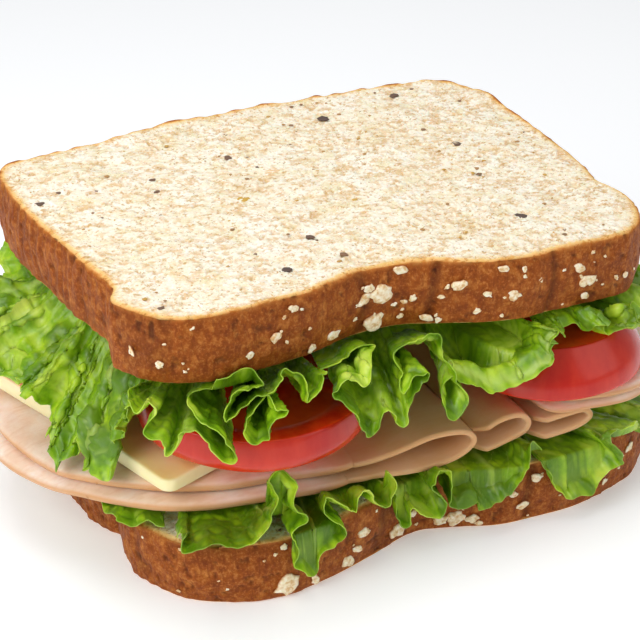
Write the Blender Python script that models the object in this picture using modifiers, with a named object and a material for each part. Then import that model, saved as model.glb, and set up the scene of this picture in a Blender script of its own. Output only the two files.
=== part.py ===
"""A closed sandwich on sliced wholegrain bread: turkey, cheese, tomato and two layers of curly lettuce.

Lengths are millimetres up to the point where a mesh is made, which turns them to metres.
+X runs along the bread's crown, which faces -Y, and +Z is up.
The origin is at the middle of the lower slice's flat underside.
"""

import math
import random

import bmesh
import bpy
import numpy as np
from mathutils import Matrix, Vector, noise

MM = 0.001
GAP = 0.45  # air kept between two pieces that touch

# Bread
SLICE_THICK = 15.0
UPPER_BASE = 56.8  # the upper slice's underside, above the origin
UPPER_TILT = (-0.05, 0.045)  # its rise along X and along Y
CRUST_BULGE = 0.9
SLICE_COLUMNS = 72
CRUMB_RELIEF = 0.35

# Fillings, each the height of its underside
LOW_LEAF = 17.7  # middle of the lower lettuce inside the sandwich
HIGH_LEAF = 48.5  # middle of the upper lettuce
LEAF_THICK = 0.8
LEAF_ROWS = 5
RIM_ROW = 0.6  # the share of a leaf's rows that lie between the layers
RIM_RANGE = (0.4, 0.95)  # how far out a leaf's rim may be, as a share of its way to the margin
LIFT_POWER = 3  # how late a leaf leaves its level on the way out
CURL_POWER = 2.5  # how late its curls start
CURL_WINDOW = 11  # columns that the smoothed margin is averaged over
LEAF_CLEARANCE = GAP + LEAF_THICK / 2 + 0.2  # from a leaf's middle to its neighbour above or below
SLOPE_OUT = 6  # how steeply a leaf may leave its level past a neighbour's edge
TURKEY_LOW = 20.4
TURKEY_THICK = 2.9
TURKEY_HIGH = 23.8
FOLD_THICK = 1.8
CHEESE_BASE = 27.4
CHEESE_SIDE = 66.0
CHEESE_THICK = 4.2
CHEESE_RISE = 1.9  # its right part lies higher, on the left fold of turkey
CHEESE_SAG = 0.4  # of the free corner
RIGHT_SHEETS = (27.2, 29.6)  # two sheets of turkey at the right, the upper one thicker
TOPMOST_THICK = 2.6
SHEET_DROOP = 2.2  # how far a flat sheet's edge hangs down 20 mm past the lower slice
SHEET_WAVE = 0.15
TOMATO_SKIN_BULGE = 0.9

# Outlines of the two slices seen from above, anticlockwise from the back left corner
UPPER_OUTLINE = [
    (-70, 26), (-70.5, 10), (-68, -5), (-65.5, -19), (-63.2, -29.5), (-65.3, -35), (-63.7, -39.5),
    (-58.5, -45), (-49, -47.3), (-38, -46), (-27, -43.8), (-15, -39.5), (-4, -38.3), (5, -40.2),
    (16, -43), (24, -43.7), (31, -42.8), (43, -41.8), (52, -39.8), (58.2, -33), (60.6, -24),
    (58.2, -15.5), (59.3, -6), (59, 8), (57.6, 27), (56.2, 38), (49, 46.5), (34, 47), (8, 45),
    (-20, 41.5), (-45, 35), (-62, 30.5),
]
LOWER_OUTLINE = [
    (-65, 20), (-63.5, 4), (-61, -7), (-57.8, -12.7), (-60.2, -20), (-59.8, -28), (-54.6, -38.5),
    (-46, -44.5), (-34, -47.2), (-22, -45.3), (-10, -41.4), (1.5, -37.2), (10, -38.2), (21, -42.2),
    (31, -42.8), (41, -42.6), (51, -40), (60, -36.2), (66, -30), (67.5, -22), (64.5, -12),
    (65, -3), (64, 14), (63, 30), (60.5, 41), (52, 47), (28, 47.5), (0, 46), (-28, 44),
    (-52, 42), (-62, 37),
]
# Rings of a slice from the middle of its top to the middle of its underside:
# how far out towards the outline, and how high in the thickness
SLICE_RINGS = [
    (0, 1), (0.5, 1), (0.86, 1), (0.99, 0.99), (1, 0.94), (1, 0.62), (1, 0.3), (1, 0.07),
    (0.98, 0), (0, 0),
]

# Oat flakes on the crown: place along X, height above the slice's underside, length
UPPER_OATS = [
    (-62.5, 6.3, 2.2), (-58.8, 4.7, 1.9), (-41, 4.7, 2.1), (-30.5, 11.8, 2.2), (-34.9, 7, 2.6),
    (-20.3, 3, 3.8), (-12.3, 8.4, 3.6), (-7.9, 9.1, 5), (-9.7, 3, 4.6), (-0.6, 6.8, 2.6),
    (2.4, 2.6, 3), (9.1, 9.5, 4.2), (6.6, 12, 2), (18.6, 12.5, 3), (21, 6.8, 3.4), (27, 9.1, 2),
    (37.4, 10, 3), (39.8, 6.2, 3.6), (47.5, 5.2, 2.2), (14, 4.6, 2),
]
LOWER_OATS = [
    (-46.8, 6.7, 2), (-33.6, 4, 5.6), (-33.9, 12.4, 2.2), (-26.5, 2.6, 2.6), (-17.9, 3.2, 3.4),
    (-13.7, 8.7, 4), (-3.3, 4, 4.4), (8.5, 3, 3.4), (12.8, 3.2, 4), (26.4, 5.1, 2.6),
    (29.8, 11.2, 3), (56.8, 9.7, 2.4), (48, 4, 2.4), (19, 8, 2.2),
]

# Margins of the leaves: x, y and z of the points that the edge of each leaf passes
UPPER_FRONT_LEFT = [
    (-64, -42, 56), (-66.5, -47, 56), (-65, -50, 55), (-63, -49, 56), (-62, -50, 54),
    (-65, -52, 52), (-61, -53, 46), (-58, -52, 49), (-54, -53, 49), (-51, -55, 42), (-47, -55, 43),
    (-51, -54, 50), (-54, -52, 54), (-47, -50.5, 56), (-42, -51, 56), (-44, -54, 52),
    (-45, -57, 47), (-42, -57, 46), (-40, -56, 51), (-36, -56, 53), (-36, -51, 55),
    (-32, -51, 56), (-31, -55, 51), (-28, -52, 54), (-26.5, -49, 54),
]
UPPER_FRONT_RIGHT = [
    (-24, -47, 53), (-24, -52, 50), (-20, -53, 45), (-16, -53, 39), (-14, -51, 43),
    (-11, -52, 40), (-9, -51, 37), (-6, -50, 42), (-1, -50, 48), (-5, -47, 50), (-6, -44, 52),
    (-1, -44, 53), (3, -44, 53), (4, -47, 47), (2, -49, 42), (4, -50, 37.5), (8, -49, 39),
    (10, -47, 43), (15, -48, 40), (20, -49, 41), (25, -50, 43), (28, -48, 46), (28, -45, 50),
]
UPPER_RIGHT = [
    (31, -44, 50), (35, -47, 48), (39, -46, 51), (43, -48, 48), (47, -48, 47), (50, -45, 51),
    (55, -46, 46), (59, -41, 50), (63, -36, 44), (65, -28, 50), (69, -22, 43), (65, -14, 51),
    (69, -6, 43), (64, 2, 51), (68, 9, 43), (62, 16, 51), (66, 24, 44), (60, 31, 51), (62, 38, 45),
]
UPPER_LEFT = [
    (-64, 39, 54), (-71, 36, 51), (-70, 29, 48), (-78, 25, 50), (-77, 18, 45), (-81, 11, 44),
    (-78, 4, 40), (-76, -3, 37), (-78, -8, 40), (-72, -11, 37), (-74, -15, 32), (-76, -19, 29),
    (-73, -22, 28.5), (-72, -25, 33), (-70, -28, 28.5), (-67, -31, 31), (-65.5, -33, 37),
    (-64, -35, 44), (-62.5, -37, 50),
]
LOWER_FRONT_LEFT = [
    (-56, -40, 17.5), (-54, -44, 21), (-55, -46, 18.5), (-50, -48, 21.5), (-46, -49, 20),
    (-43, -50, 21), (-38, -50, 22), (-36, -49, 27), (-37, -48, 31), (-33, -50, 29),
    (-33, -51, 25), (-30, -52, 22), (-33, -51, 18), (-32, -51, 13), (-33, -51, 9), (-30, -51, 6),
    (-27, -50, 6), (-26, -50, 10), (-22, -49, 12), (-20, -49, 14), (-24, -50, 20), (-25, -51, 24),
    (-22, -51, 24), (-20, -51, 20), (-18, -49, 24), (-14, -49, 24), (-11, -49, 18), (-8, -47, 21),
    (-9, -46, 25),
]
LOWER_FRONT_RIGHT = [
    (-6, -43, 18), (-5, -45, 9), (-3, -44, 7), (-1.5, -45, 12), (2, -45, 9), (5, -45, 8),
    (5, -47, 14), (1, -48, 19), (2, -47, 23), (6, -47, 23), (7, -46, 18), (8, -46, 10),
    (11, -46, 10), (14, -46, 8), (18, -47, 10), (23, -46.5, 13), (26, -46, 18), (28, -45, 22),
    (30, -44.5, 20),
]
LOWER_RIGHT = [
    (32, -45.5, 15), (34, -47, 10), (37, -48, 6), (41, -47, 6), (45, -47, 9), (49, -47, 12),
    (47, -48, 18), (46, -48, 22), (52, -47, 23), (56, -44, 20), (60, -41, 14), (66, -36, 18),
    (70, -29, 12), (72, -21, 17), (70, -13, 11), (70, -5, 17), (68, 3, 12), (69, 11, 17),
    (67, 19, 12), (68, 27, 16), (64, 34, 16),
]
LOWER_LEFT = [
    (-56, -34, 17.8), (-58, -37, 17.2), (-60, -35, 18.6), (-63, -33, 17.4), (-66, -30, 18.8),
    (-66, -23, 17.2), (-68, -15, 18.6), (-67, -5, 17), (-69, 4, 18.4), (-68, 14, 16.6),
    (-70, 22, 18), (-67, 30, 16.8), (-66, 37, 17.6),
]

# Sheets of turkey lying flat, seen from above, anticlockwise from the left
TURKEY_LOWER = [
    (-82, 7), (-80.5, -4), (-77, -12.5), (-72, -20.5), (-66, -27.5), (-58, -34.5), (-48, -38.5),
    (-38, -40.5), (-27, -41.6), (-19.6, -41), (-18.8, -34), (-19, 10), (-20, 34), (-27, 47),
    (-42, 49), (-58, 45), (-72, 36), (-80, 22),
]
TURKEY_UPPER = [
    (-80, 7), (-77, -7), (-73, -16), (-67, -24), (-62, -28.8), (-54, -34), (-44, -37.5),
    (-34, -39), (-25, -39.6), (-19.8, -38.5), (-19.5, -30), (-20, 20), (-24, 40), (-38, 47),
    (-55, 44), (-70, 34), (-78, 21),
]
TURKEY_RIGHT = [
    (31, 0), (31, -30), (33, -42), (42, -44.2), (52, -44.4), (60, -40), (66, -30), (68.5, -14),
    (68, 4), (65, 22), (58, 38), (46, 47), (35, 44), (31.5, 30),
]
TURKEY_TOPMOST = [
    (33, 0), (33, -30), (35, -42), (43, -45), (52, -45.2), (60, -41.5), (66.5, -31), (69.5, -14),
    (69, 4), (66, 22), (59, 37), (47, 45), (37, 42), (33.5, 28),
]
# Folded sheets of turkey seen from the front: x and z of the middle of the sheet,
# from the left end of its lower half round the bend to the left end of its upper half
FOLD_SECTIONS = {
    "turkey_fold_left": [
        (-17, 22.2), (-8, 21.4), (2, 21.5), (10, 22.3), (13.4, 24.7), (11.3, 27.2), (4, 27.3),
        (-6, 25.9), (-15.5, 24.6),
    ],
    "turkey_fold_middle": [
        (15.8, 21.3), (22, 21.6), (26.6, 23.1), (27.8, 25.4), (25.4, 27.2), (20.5, 26.4),
        (16.2, 24),
    ],
    "turkey_fold_right": [
        (30.2, 21.3), (36, 21.2), (41, 22.1), (43.2, 23.9), (41.2, 25.6), (36, 24.9), (30.6, 23.7),
    ],
}
FOLDS_FRONT = -43.0
FOLDS_BACK = 47.0
FOLD_DEPTHS = {
    "turkey_fold_left": (FOLDS_FRONT, 46),
    "turkey_fold_middle": (-41.5, FOLDS_BACK),
    "turkey_fold_right": (-42.5, 45),
}

# Tomato slices: middle, radius at the upper and at the lower rim, underside and top
TOMATOES = {
    "tomato_front_left": ((-31.5, -26), 24.6, 24.4, 34.1, 41.8),
    "tomato_front_right": ((40, -26.5), 17.6, 22.3, 32.9, 44),
    "tomato_back_left": ((-53, 20), 24.5, 24.8, 33, 40.6),
    "tomato_back_right": ((27, 27.5), 24.5, 24.2, 34.1, 41.8),
}

# Colour and roughness of each kind of food
FINISHES = {
    "bread crust": ((0.33, 0.13, 0.045), 0.6),
    "curly lettuce": ((0.2, 0.45, 0.03), 0.35),
    "sliced turkey": ((0.75, 0.48, 0.36), 0.4),
    "pale cheese": ((0.83, 0.66, 0.3), 0.35),
    "ripe tomato": ((0.6, 0.02, 0.01), 0.2),
}

CHEESE_CORNER = (-56.2, -38.7)  # the front left corner, which hangs out over the turkey
CHEESE_TURN = math.radians(20)


def through(points, count, closed):
    """Points at even distances along a smooth curve through the given ones."""
    knots = np.asarray(points, float)
    if closed:
        padded = np.vstack([knots[-1:], knots, knots[:2]])
    else:
        padded = np.vstack([2 * knots[0] - knots[1], knots, 2 * knots[-1] - knots[-2]])
    steps = np.linspace(0, 1, 12, endpoint=False)[:, None]
    pieces = []
    for i in range(1, len(padded) - 2):
        before, start, end, after = padded[i - 1 : i + 3]
        pieces.append(
            0.5 * (2 * start + (end - before) * steps
                   + (2 * before - 5 * start + 4 * end - after) * steps**2
                   + (3 * start - before - 3 * end + after) * steps**3)
        )
    line = np.vstack(pieces + [padded[-2:-1]])
    lengths = np.concatenate([[0], np.cumsum(np.linalg.norm(np.diff(line, axis=0), axis=1))])
    places = np.linspace(0, lengths[-1], count, endpoint=not closed)
    return np.column_stack([np.interp(places, lengths, column) for column in line.T])


def beyond(outline, x, y):
    """How far a place is outside an outline, along the line from the outline's middle."""
    line = through(outline, 240, True)
    middle = line.mean(axis=0)
    turns = np.arctan2(line[:, 1] - middle[1], line[:, 0] - middle[0])
    reach = np.hypot(line[:, 0] - middle[0], line[:, 1] - middle[1])
    order = np.argsort(turns)
    edge = np.interp(np.arctan2(y - middle[1], x - middle[0]), turns[order], reach[order],
                     period=2 * math.pi)
    return np.hypot(x - middle[0], y - middle[1]) - edge


def upper_underside(x, y):
    return UPPER_BASE + UPPER_TILT[0] * x + UPPER_TILT[1] * y


def material(name, kind):
    colour, roughness = FINISHES[kind]
    made = bpy.data.materials.new(f"{kind} of {name}")
    made.use_nodes = True
    shader = made.node_tree.nodes["Principled BSDF"]
    shader.inputs["Base Color"].default_value = (*colour, 1)
    shader.inputs["Roughness"].default_value = roughness
    shader.inputs["Metallic"].default_value = 0
    return made


food = bpy.data.collections.new("sandwich")
oats = bpy.data.collections.new("oat flakes")


def clear_scene():
    for found in list(bpy.context.scene.objects):
        bpy.data.objects.remove(found, do_unlink=True)
    for collection in (food, oats):
        bpy.context.scene.collection.children.link(collection)
    oats.hide_render = True


def add(name, mesh, kind, collection=food):
    made = bpy.data.objects.new(name, mesh)
    mesh.materials.append(material(name, kind))
    mesh.shade_smooth()
    collection.objects.link(made)
    return made


def mesh_of(name, cage):
    mesh = bpy.data.meshes.new(name)
    cage.to_mesh(mesh)
    cage.free()
    return mesh


def sheet(name, columns, rows, shape, thickness, kind):
    """A thin solid on a grid: shape(u, v) gives its middle surface, u and v running from 0 to 1."""
    cage = bmesh.new()
    bmesh.ops.create_grid(cage, x_segments=columns, y_segments=rows, size=0.5)
    places = np.array([vertex.co[:2] for vertex in cage.verts]) + 0.5
    for vertex, place in zip(cage.verts, shape(places[:, 0], places[:, 1])):
        vertex.co = Vector(place) * MM
    bmesh.ops.triangulate(cage, faces=cage.faces[:])
    made = add(name, mesh_of(name, cage), kind)
    wall = made.modifiers.new("thickness", "SOLIDIFY")
    wall.thickness = thickness * MM
    wall.offset = 0
    made.data.set_sharp_from_angle(angle=math.radians(50))
    return made


def slice_of_bread(name, outline, place):
    """A round cage squashed into a slice: its columns follow the outline and its rings the section."""
    rings = len(SLICE_RINGS) - 1
    cage = bmesh.new()
    bmesh.ops.create_uvsphere(cage, u_segments=SLICE_COLUMNS, v_segments=rings, radius=1)
    edge = through(outline, SLICE_COLUMNS, True)
    for vertex in cage.verts:
        ring = round(math.acos(max(-1, min(1, vertex.co.z))) / math.pi * rings)
        column = round(math.atan2(vertex.co.y, vertex.co.x) / (2 * math.pi) * SLICE_COLUMNS)
        out, height = SLICE_RINGS[ring]
        corner = Vector(edge[column % SLICE_COLUMNS])
        bulge = CRUST_BULGE * math.sin(math.pi * height) if out == 1 else 0
        x, y = corner * out + corner.normalized() * bulge
        relief = CRUMB_RELIEF * noise.noise(Vector((x, y, 0)) / 9) if height == 1 else 0
        vertex.co = Vector(place(x, y, height * SLICE_THICK + relief)) * MM
    return add(name, mesh_of(name, cage), "bread crust")


def scatter_oats(name, loaf, outline, flakes, place, seed):
    """Flakes pressed into the crown's crust, joined with the slice into one solid."""
    draw = random.Random(seed)
    edge = through(outline, 400, True)
    front = edge[edge[:, 1] < -30]
    for x, height, length in flakes:
        i = int(np.argmin(abs(front[:, 0] - x)))
        before, after = front[max(i - 4, 0)], front[min(i + 4, len(front) - 1)]
        along = Vector((*(after - before), 0)).normalized()
        out = Vector((along.y, -along.x, 0))
        centre = Vector(place(*front[i], height)) + out * (CRUST_BULGE * 0.8)
        cage = bmesh.new()
        bmesh.ops.create_cone(cage, cap_ends=True, segments=6, radius1=0.52, radius2=0.36, depth=1)
        turn = Matrix((along, out.cross(along), out)).transposed().to_4x4()
        spin = Matrix.Rotation(draw.uniform(-0.6, 0.6), 4, "Z")
        size = Matrix.Diagonal((length, length * draw.uniform(0.6, 0.8), 1.5, 1))
        placed = Matrix.Scale(MM, 4) @ Matrix.Translation(centre) @ turn @ spin @ size
        bmesh.ops.transform(cage, matrix=placed, verts=cage.verts)
        add(f"{name}_flake", mesh_of(f"{name}_flake", cage), "bread crust", oats)
    union = loaf.modifiers.new("oats", "BOOLEAN")
    union.operation = "UNION"
    union.operand_type = "COLLECTION"
    union.collection = oats
    bpy.context.view_layer.update()
    evaluated = loaf.evaluated_get(bpy.context.evaluated_depsgraph_get())
    joined = bpy.data.meshes.new_from_object(evaluated)
    loaf.modifiers.clear()
    loaf.data = joined
    for flake in list(oats.objects):
        bpy.data.objects.remove(flake, do_unlink=True)


def leaf(name, columns, inner, margin, height, ripples, free, room):
    """A leaf from a line inside the sandwich out to its curly margin.

    Up to its rim, where free(x, y) turns positive, the sheet lies between the layers round it.
    Past the rim it runs out to the margin. The curls, which are the margin less its smoothed
    course, grow with the way out, and ripples gives the count and the height of the low folds
    between. room(x, y, past) gives the lowest and highest place that the pieces round the leaf
    leave it, where past is true of what lies past the rim.
    """
    start = through(inner, columns + 1, False)
    curly = through(margin, columns + 1, False)
    kernel = np.hanning(CURL_WINDOW)[1:-1]
    ends = len(kernel) // 2
    padded = np.vstack([np.repeat(curly[:1], ends, 0), curly, np.repeat(curly[-1:], ends, 0)])
    plain = np.column_stack([np.convolve(c, kernel / kernel.sum(), "valid") for c in padded.T])
    steps = np.linspace(0, 1, 81)[:, None, None]
    ways = start + (plain[:, :2] - start) * steps
    held = free(ways[..., 0], ways[..., 1]) < 0
    rim = np.clip(held.sum(axis=0) / len(held), *RIM_RANGE)

    def shape(u, v):
        i = np.rint(u * columns).astype(int)
        inside = v / RIM_ROW * rim[i]
        outside = rim[i] + (v - RIM_ROW) / (1 - RIM_ROW) * (1 - rim[i])
        out = np.where(v <= RIM_ROW, inside, outside)[:, None]
        flat = np.column_stack([start[i], np.full(len(i), height)])
        way = np.column_stack([out, out, out**LIFT_POWER])
        points = flat + (plain[i] - flat) * way + (curly[i] - plain[i]) * out**CURL_POWER
        swell = 4 * out[:, 0] * (1 - out[:, 0])
        points[:, 2] += ripples[1] * swell * np.sin(2 * math.pi * ripples[0] * u)
        low, high = room(points[:, 0], points[:, 1], v > RIM_ROW + 0.01)
        points[:, 2] = np.clip(points[:, 2], low, np.maximum(high, low))
        return points

    return sheet(name, columns, LEAF_ROWS, shape, LEAF_THICK, "curly lettuce")


def past_filling(x, y):
    """How far a place is outside the turkey, the flat sheets and the folds alike."""
    folds = np.maximum(FOLDS_FRONT - y, np.maximum(y - FOLDS_BACK, x - 45))
    return np.minimum.reduce([beyond(TURKEY_LOWER, x, y), folds, beyond(TURKEY_TOPMOST, x, y)])


def lower_free(x, y):
    return np.minimum(beyond(LOWER_OUTLINE, x, y) - CRUST_BULGE - 0.7, past_filling(x, y) - 0.8)


def lower_room(x, y, past):
    """Between the lower slice and the turkey, and free past the edge of each."""
    outside = np.maximum(0, beyond(LOWER_OUTLINE, x, y) - CRUST_BULGE - 1)
    low = SLICE_THICK + GAP + LEAF_THICK / 2 - SLOPE_OUT * outside * past
    above = np.maximum(0, past_filling(x, y) - CRUST_BULGE)
    high = TURKEY_LOW - LEAF_CLEARANCE - 0.1 + SLOPE_OUT * above * past
    return np.maximum(low, LEAF_THICK), high


def past_tomato(x, y, middle, upper_radius, lower_radius):
    return np.hypot(x - middle[0], y - middle[1]) - max(upper_radius, lower_radius)


def upper_free(x, y):
    tomatoes = [past_tomato(x, y, *found[:3]) - 1.6 for found in TOMATOES.values()]
    return np.minimum.reduce([*tomatoes, beyond(UPPER_OUTLINE, x, y) - 1])


def upper_room(x, y, past):
    """Above the tomato and cheese and below the upper slice, and free past the edge of each."""
    past_cheese = np.maximum(0, beyond_cheese(x, y) - CRUST_BULGE)
    cheese_top = CHEESE_BASE + CHEESE_THICK + CHEESE_RISE
    low = np.maximum(cheese_top + 1 - 5 * past_cheese, turkey_top(x, y) + 1)
    for found in TOMATOES.values():
        aside = np.maximum(0, past_tomato(x, y, *found[:3]) - 1.7)
        low = np.maximum(low, found[4] + LEAF_CLEARANCE - SLOPE_OUT * aside * past)
    outside = np.maximum(0, beyond(UPPER_OUTLINE, x, y) - CRUST_BULGE - 0.8)
    high = upper_underside(x, y) - LEAF_CLEARANCE + 5 * outside * past
    return low, high


def beyond_cheese(x, y):
    """How far a place is outside the cheese's square."""
    dx, dy = x - CHEESE_CORNER[0], y - CHEESE_CORNER[1]
    along = dx * math.cos(CHEESE_TURN) + dy * math.sin(CHEESE_TURN)
    across = dy * math.cos(CHEESE_TURN) - dx * math.sin(CHEESE_TURN)
    half = CHEESE_SIDE / 2
    return np.maximum(abs(along - half), abs(across - half)) - half


def turkey_top(x, y):
    """The top of the upper flat sheet of turkey, and nothing past its edge."""
    edge = beyond(TURKEY_LOWER, x, y)
    return TURKEY_HIGH + TURKEY_THICK - 4 * np.maximum(0, edge - 0.5)


def droop(x, y, depth):
    """How far a flat sheet hangs down past the lower slice's edge."""
    outside = np.clip(beyond(LOWER_OUTLINE, x, y) - 1, 0, 22)
    return depth * (outside / 20) ** 1.5


def flat_sheet(name, outline, thickness, base):
    """A square grid stretched to an outline, gently waved, with edges that hang down a little."""
    edge = through(outline, 360, True)
    middle = edge.mean(axis=0)
    spokes = edge - middle
    turns = np.unwrap(np.arctan2(spokes[:, 1], spokes[:, 0]))

    def shape(u, v):
        a, b = 2 * u - 1, 2 * v - 1
        size = np.maximum(abs(a), abs(b))
        turn = np.arctan2(b, a)
        x = middle[0] + size * np.interp(turn, turns, spokes[:, 0], period=2 * math.pi)
        y = middle[1] + size * np.interp(turn, turns, spokes[:, 1], period=2 * math.pi)
        wave = SHEET_WAVE * np.sin(x / 7.0) * np.cos(y / 9.0)
        z = base + thickness / 2 + wave - droop(x, y, SHEET_DROOP)
        return np.column_stack([x, y, z])

    return sheet(name, 8, 8, shape, thickness, "sliced turkey")


def folded_sheet(name, section, front, back):
    """A sheet of turkey folded over on itself, the fold running from front to back."""
    columns = 14
    line = through(section, columns + 1, False)

    def shape(u, v):
        i = np.rint(u * columns).astype(int)
        y = front + (back - front) * v
        sway = 0.35 * np.sin(y / 8.0)
        return np.column_stack([line[i, 0] + sway, y, line[i, 1]])

    return sheet(name, columns, 4, shape, FOLD_THICK, "sliced turkey")


def cheese():
    side_x = Vector((math.cos(CHEESE_TURN), math.sin(CHEESE_TURN)))
    side_y = Vector((-side_x.y, side_x.x))

    def shape(u, v):
        x = CHEESE_CORNER[0] + CHEESE_SIDE * (u * side_x.x + v * side_y.x)
        y = CHEESE_CORNER[1] + CHEESE_SIDE * (u * side_x.y + v * side_y.y)
        over_fold = np.clip((x + 42) / 24, 0, 1)
        rise = CHEESE_RISE * over_fold**2 * (3 - 2 * over_fold)
        sag = CHEESE_SAG * np.exp(-((u * CHEESE_SIDE) ** 2 + (v * CHEESE_SIDE) ** 2) / 16**2)
        return np.column_stack([x, y, CHEESE_BASE + CHEESE_THICK / 2 + rise - sag])

    return sheet("cheese", 6, 6, shape, CHEESE_THICK, "pale cheese")


def tomato(name, middle, upper_radius, lower_radius, base, top):
    """A turned slice whose skin bulges between its two cut faces."""
    bulge = 0.35 * upper_radius + 0.65 * lower_radius + TOMATO_SKIN_BULGE
    profile = [
        (0, top - 0.3), (upper_radius - 0.6, top), (upper_radius, top - 0.5),
        (bulge, 0.6 * base + 0.4 * top), (lower_radius, base + 0.5), (lower_radius - 0.6, base),
        (0, base),
    ]
    mesh = bpy.data.meshes.new(name)
    mesh.from_pydata([(r * MM, 0, z * MM) for r, z in profile],
                     [(i, i + 1) for i in range(len(profile) - 1)], [])
    made = add(name, mesh, "ripe tomato")
    made.location = (middle[0] * MM, middle[1] * MM, 0)
    turned = made.modifiers.new("turned", "SCREW")
    turned.steps = turned.render_steps = 26
    turned.use_merge_vertices = True
    turned.merge_threshold = 1e-5
    turned.use_smooth_shade = True
    return made


def ruffled(start, end, waves, reach, drop, height):
    """A margin for the far side: even ruffles along a line that bows outwards."""
    points = []
    for i in range(4 * waves + 1):
        along = i / (4 * waves)
        wave = math.sin(2 * math.pi * waves * along)
        x = start[0] + (end[0] - start[0]) * along
        y = start[1] + (end[1] - start[1]) * along + 2.5 * math.sin(math.pi * along)
        points.append((x + 1.2 * math.cos(4 * math.pi * waves * along), y + reach * wave,
                       height - drop * wave + 1.5 * math.sin(9 * along)))
    return points


def upright(x, y, z):
    return x, y, z


def tilted(x, y, z):
    return x, y, upper_underside(x, y) + z


def bread():
    for name, outline, place, flakes, seed in (
        ("bread_lower", LOWER_OUTLINE, upright, LOWER_OATS, 5),
        ("bread_upper", UPPER_OUTLINE, tilted, UPPER_OATS, 8),
    ):
        loaf = slice_of_bread(name, outline, place)
        scatter_oats(name, loaf, outline, flakes, place, seed)


def turkey():
    flat_sheet("turkey_lower", TURKEY_LOWER, TURKEY_THICK, TURKEY_LOW)
    flat_sheet("turkey_upper", TURKEY_UPPER, TURKEY_THICK, TURKEY_HIGH)
    flat_sheet("turkey_right", TURKEY_RIGHT, FOLD_THICK, RIGHT_SHEETS[0])
    flat_sheet("turkey_topmost", TURKEY_TOPMOST, TOPMOST_THICK, RIGHT_SHEETS[1])
    for name, section in FOLD_SECTIONS.items():
        folded_sheet(name, section, *FOLD_DEPTHS[name])


def lettuce():
    lower_back = ruffled((58, 47), (-58, 45), 6, 2.0, 2.5, 17)
    for side, columns, inner, margin in (
        ("front_left", 42, [(-42, -8), (-11, -6)], LOWER_FRONT_LEFT),
        ("front_right", 28, [(-8, -6), (24, -8)], LOWER_FRONT_RIGHT),
        ("right", 32, [(28, -10), (30, 2)], LOWER_RIGHT),
        ("left", 16, [(-45, -6), (-42, 8)], LOWER_LEFT),
        ("back", 24, [(24, 8), (-36, 8)], lower_back),
    ):
        leaf(f"lettuce_lower_{side}", columns, inner, margin, LOW_LEAF, (3, 0.6), lower_free,
             lower_room)
    upper_back = ruffled((54, 50), (-58, 46), 7, 2.2, 4, 50)
    for side, columns, inner, margin, ripples in (
        ("front_left", 38, [(-38, -8), (-20, -6)], UPPER_FRONT_LEFT, (3, 1.5)),
        ("front_right", 34, [(-17, -6), (22, -6)], UPPER_FRONT_RIGHT, (3, 1.5)),
        ("right", 28, [(28, -10), (30, 12)], UPPER_RIGHT, (4, 6)),
        ("left", 30, [(-36, 14), (-40, -8)], UPPER_LEFT, (4, 2.5)),
        ("back", 28, [(24, 8), (-32, 8)], upper_back, (5, 6)),
    ):
        leaf(f"lettuce_upper_{side}", columns, inner, margin, HIGH_LEAF, ripples, upper_free,
             upper_room)


def build():
    clear_scene()
    bread()
    lettuce()
    turkey()
    cheese()
    for name, measures in TOMATOES.items():
        tomato(name, *measures)


build()
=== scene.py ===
# A closed sandwich on sliced wholegrain bread: turkey, pale cheese, tomato and two layers of curly lettuce.
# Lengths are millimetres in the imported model's frame, up to the point where a mesh is made.
# The bread's crown faces -Y, and Z is up.
import math
import bpy
import numpy as np
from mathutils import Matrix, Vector


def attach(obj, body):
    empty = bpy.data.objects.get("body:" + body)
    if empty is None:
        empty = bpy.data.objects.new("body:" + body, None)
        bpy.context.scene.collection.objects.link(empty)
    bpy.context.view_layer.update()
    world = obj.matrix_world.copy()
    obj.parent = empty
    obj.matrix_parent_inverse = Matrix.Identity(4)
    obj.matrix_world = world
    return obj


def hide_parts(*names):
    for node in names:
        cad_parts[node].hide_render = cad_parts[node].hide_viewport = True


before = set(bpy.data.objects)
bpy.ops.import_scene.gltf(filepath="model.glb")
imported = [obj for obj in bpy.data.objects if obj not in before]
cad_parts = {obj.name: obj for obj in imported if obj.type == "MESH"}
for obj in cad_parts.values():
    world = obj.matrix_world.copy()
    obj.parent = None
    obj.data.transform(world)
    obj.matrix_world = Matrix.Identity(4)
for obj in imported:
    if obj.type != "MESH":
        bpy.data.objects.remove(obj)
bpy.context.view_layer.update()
millimetre = 0.001
latticePrimes = (73856093, 19349663, 83492791, 2654435761)  # large primes scatter neighbouring corners


# Noise and lines, all on whole arrays

def latticeValue(ix, iy, iz, seed):  # a repeatable value from -1 to 1 for each whole-number corner
    a, b, c, d = latticePrimes
    hashed = (ix * a) ^ (iy * b) ^ (iz * c) ^ (seed * d)
    hashed = ((hashed ^ (hashed >> 13)) & 0x7FFFFFFF) * 1274126177 & 0x7FFFFFFF
    return ((hashed ^ (hashed >> 16)) % 65536) / 32767.5 - 1


def smoothNoise(x, y, z=0.0, seed=0):  # corner values, blended by the smoothstep of the place between them
    places = np.broadcast_arrays(np.asarray(x, float), y, z)
    corners = [np.floor(place).astype(np.int64) for place in places]
    eases = [(p - c) ** 2 * (3 - 2 * (p - c)) for p, c in zip(places, corners)]
    total = np.zeros(places[0].shape)
    for corner in range(8):
        steps = (corner & 1, corner >> 1 & 1, corner >> 2)
        weight = 1.0
        for step, ease in zip(steps, eases):
            weight = weight * (ease if step else 1 - ease)
        total += weight * latticeValue(*[c + step for c, step in zip(corners, steps)], seed)
    return total


def roughNoise(x, y, z=0.0, seed=0, octaves=4):  # a sum of noises, each twice as fine and half as high
    return sum(smoothNoise(x * 2**k, y * 2**k, z * 2**k, seed + k) / 2**k for k in range(octaves))


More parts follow.
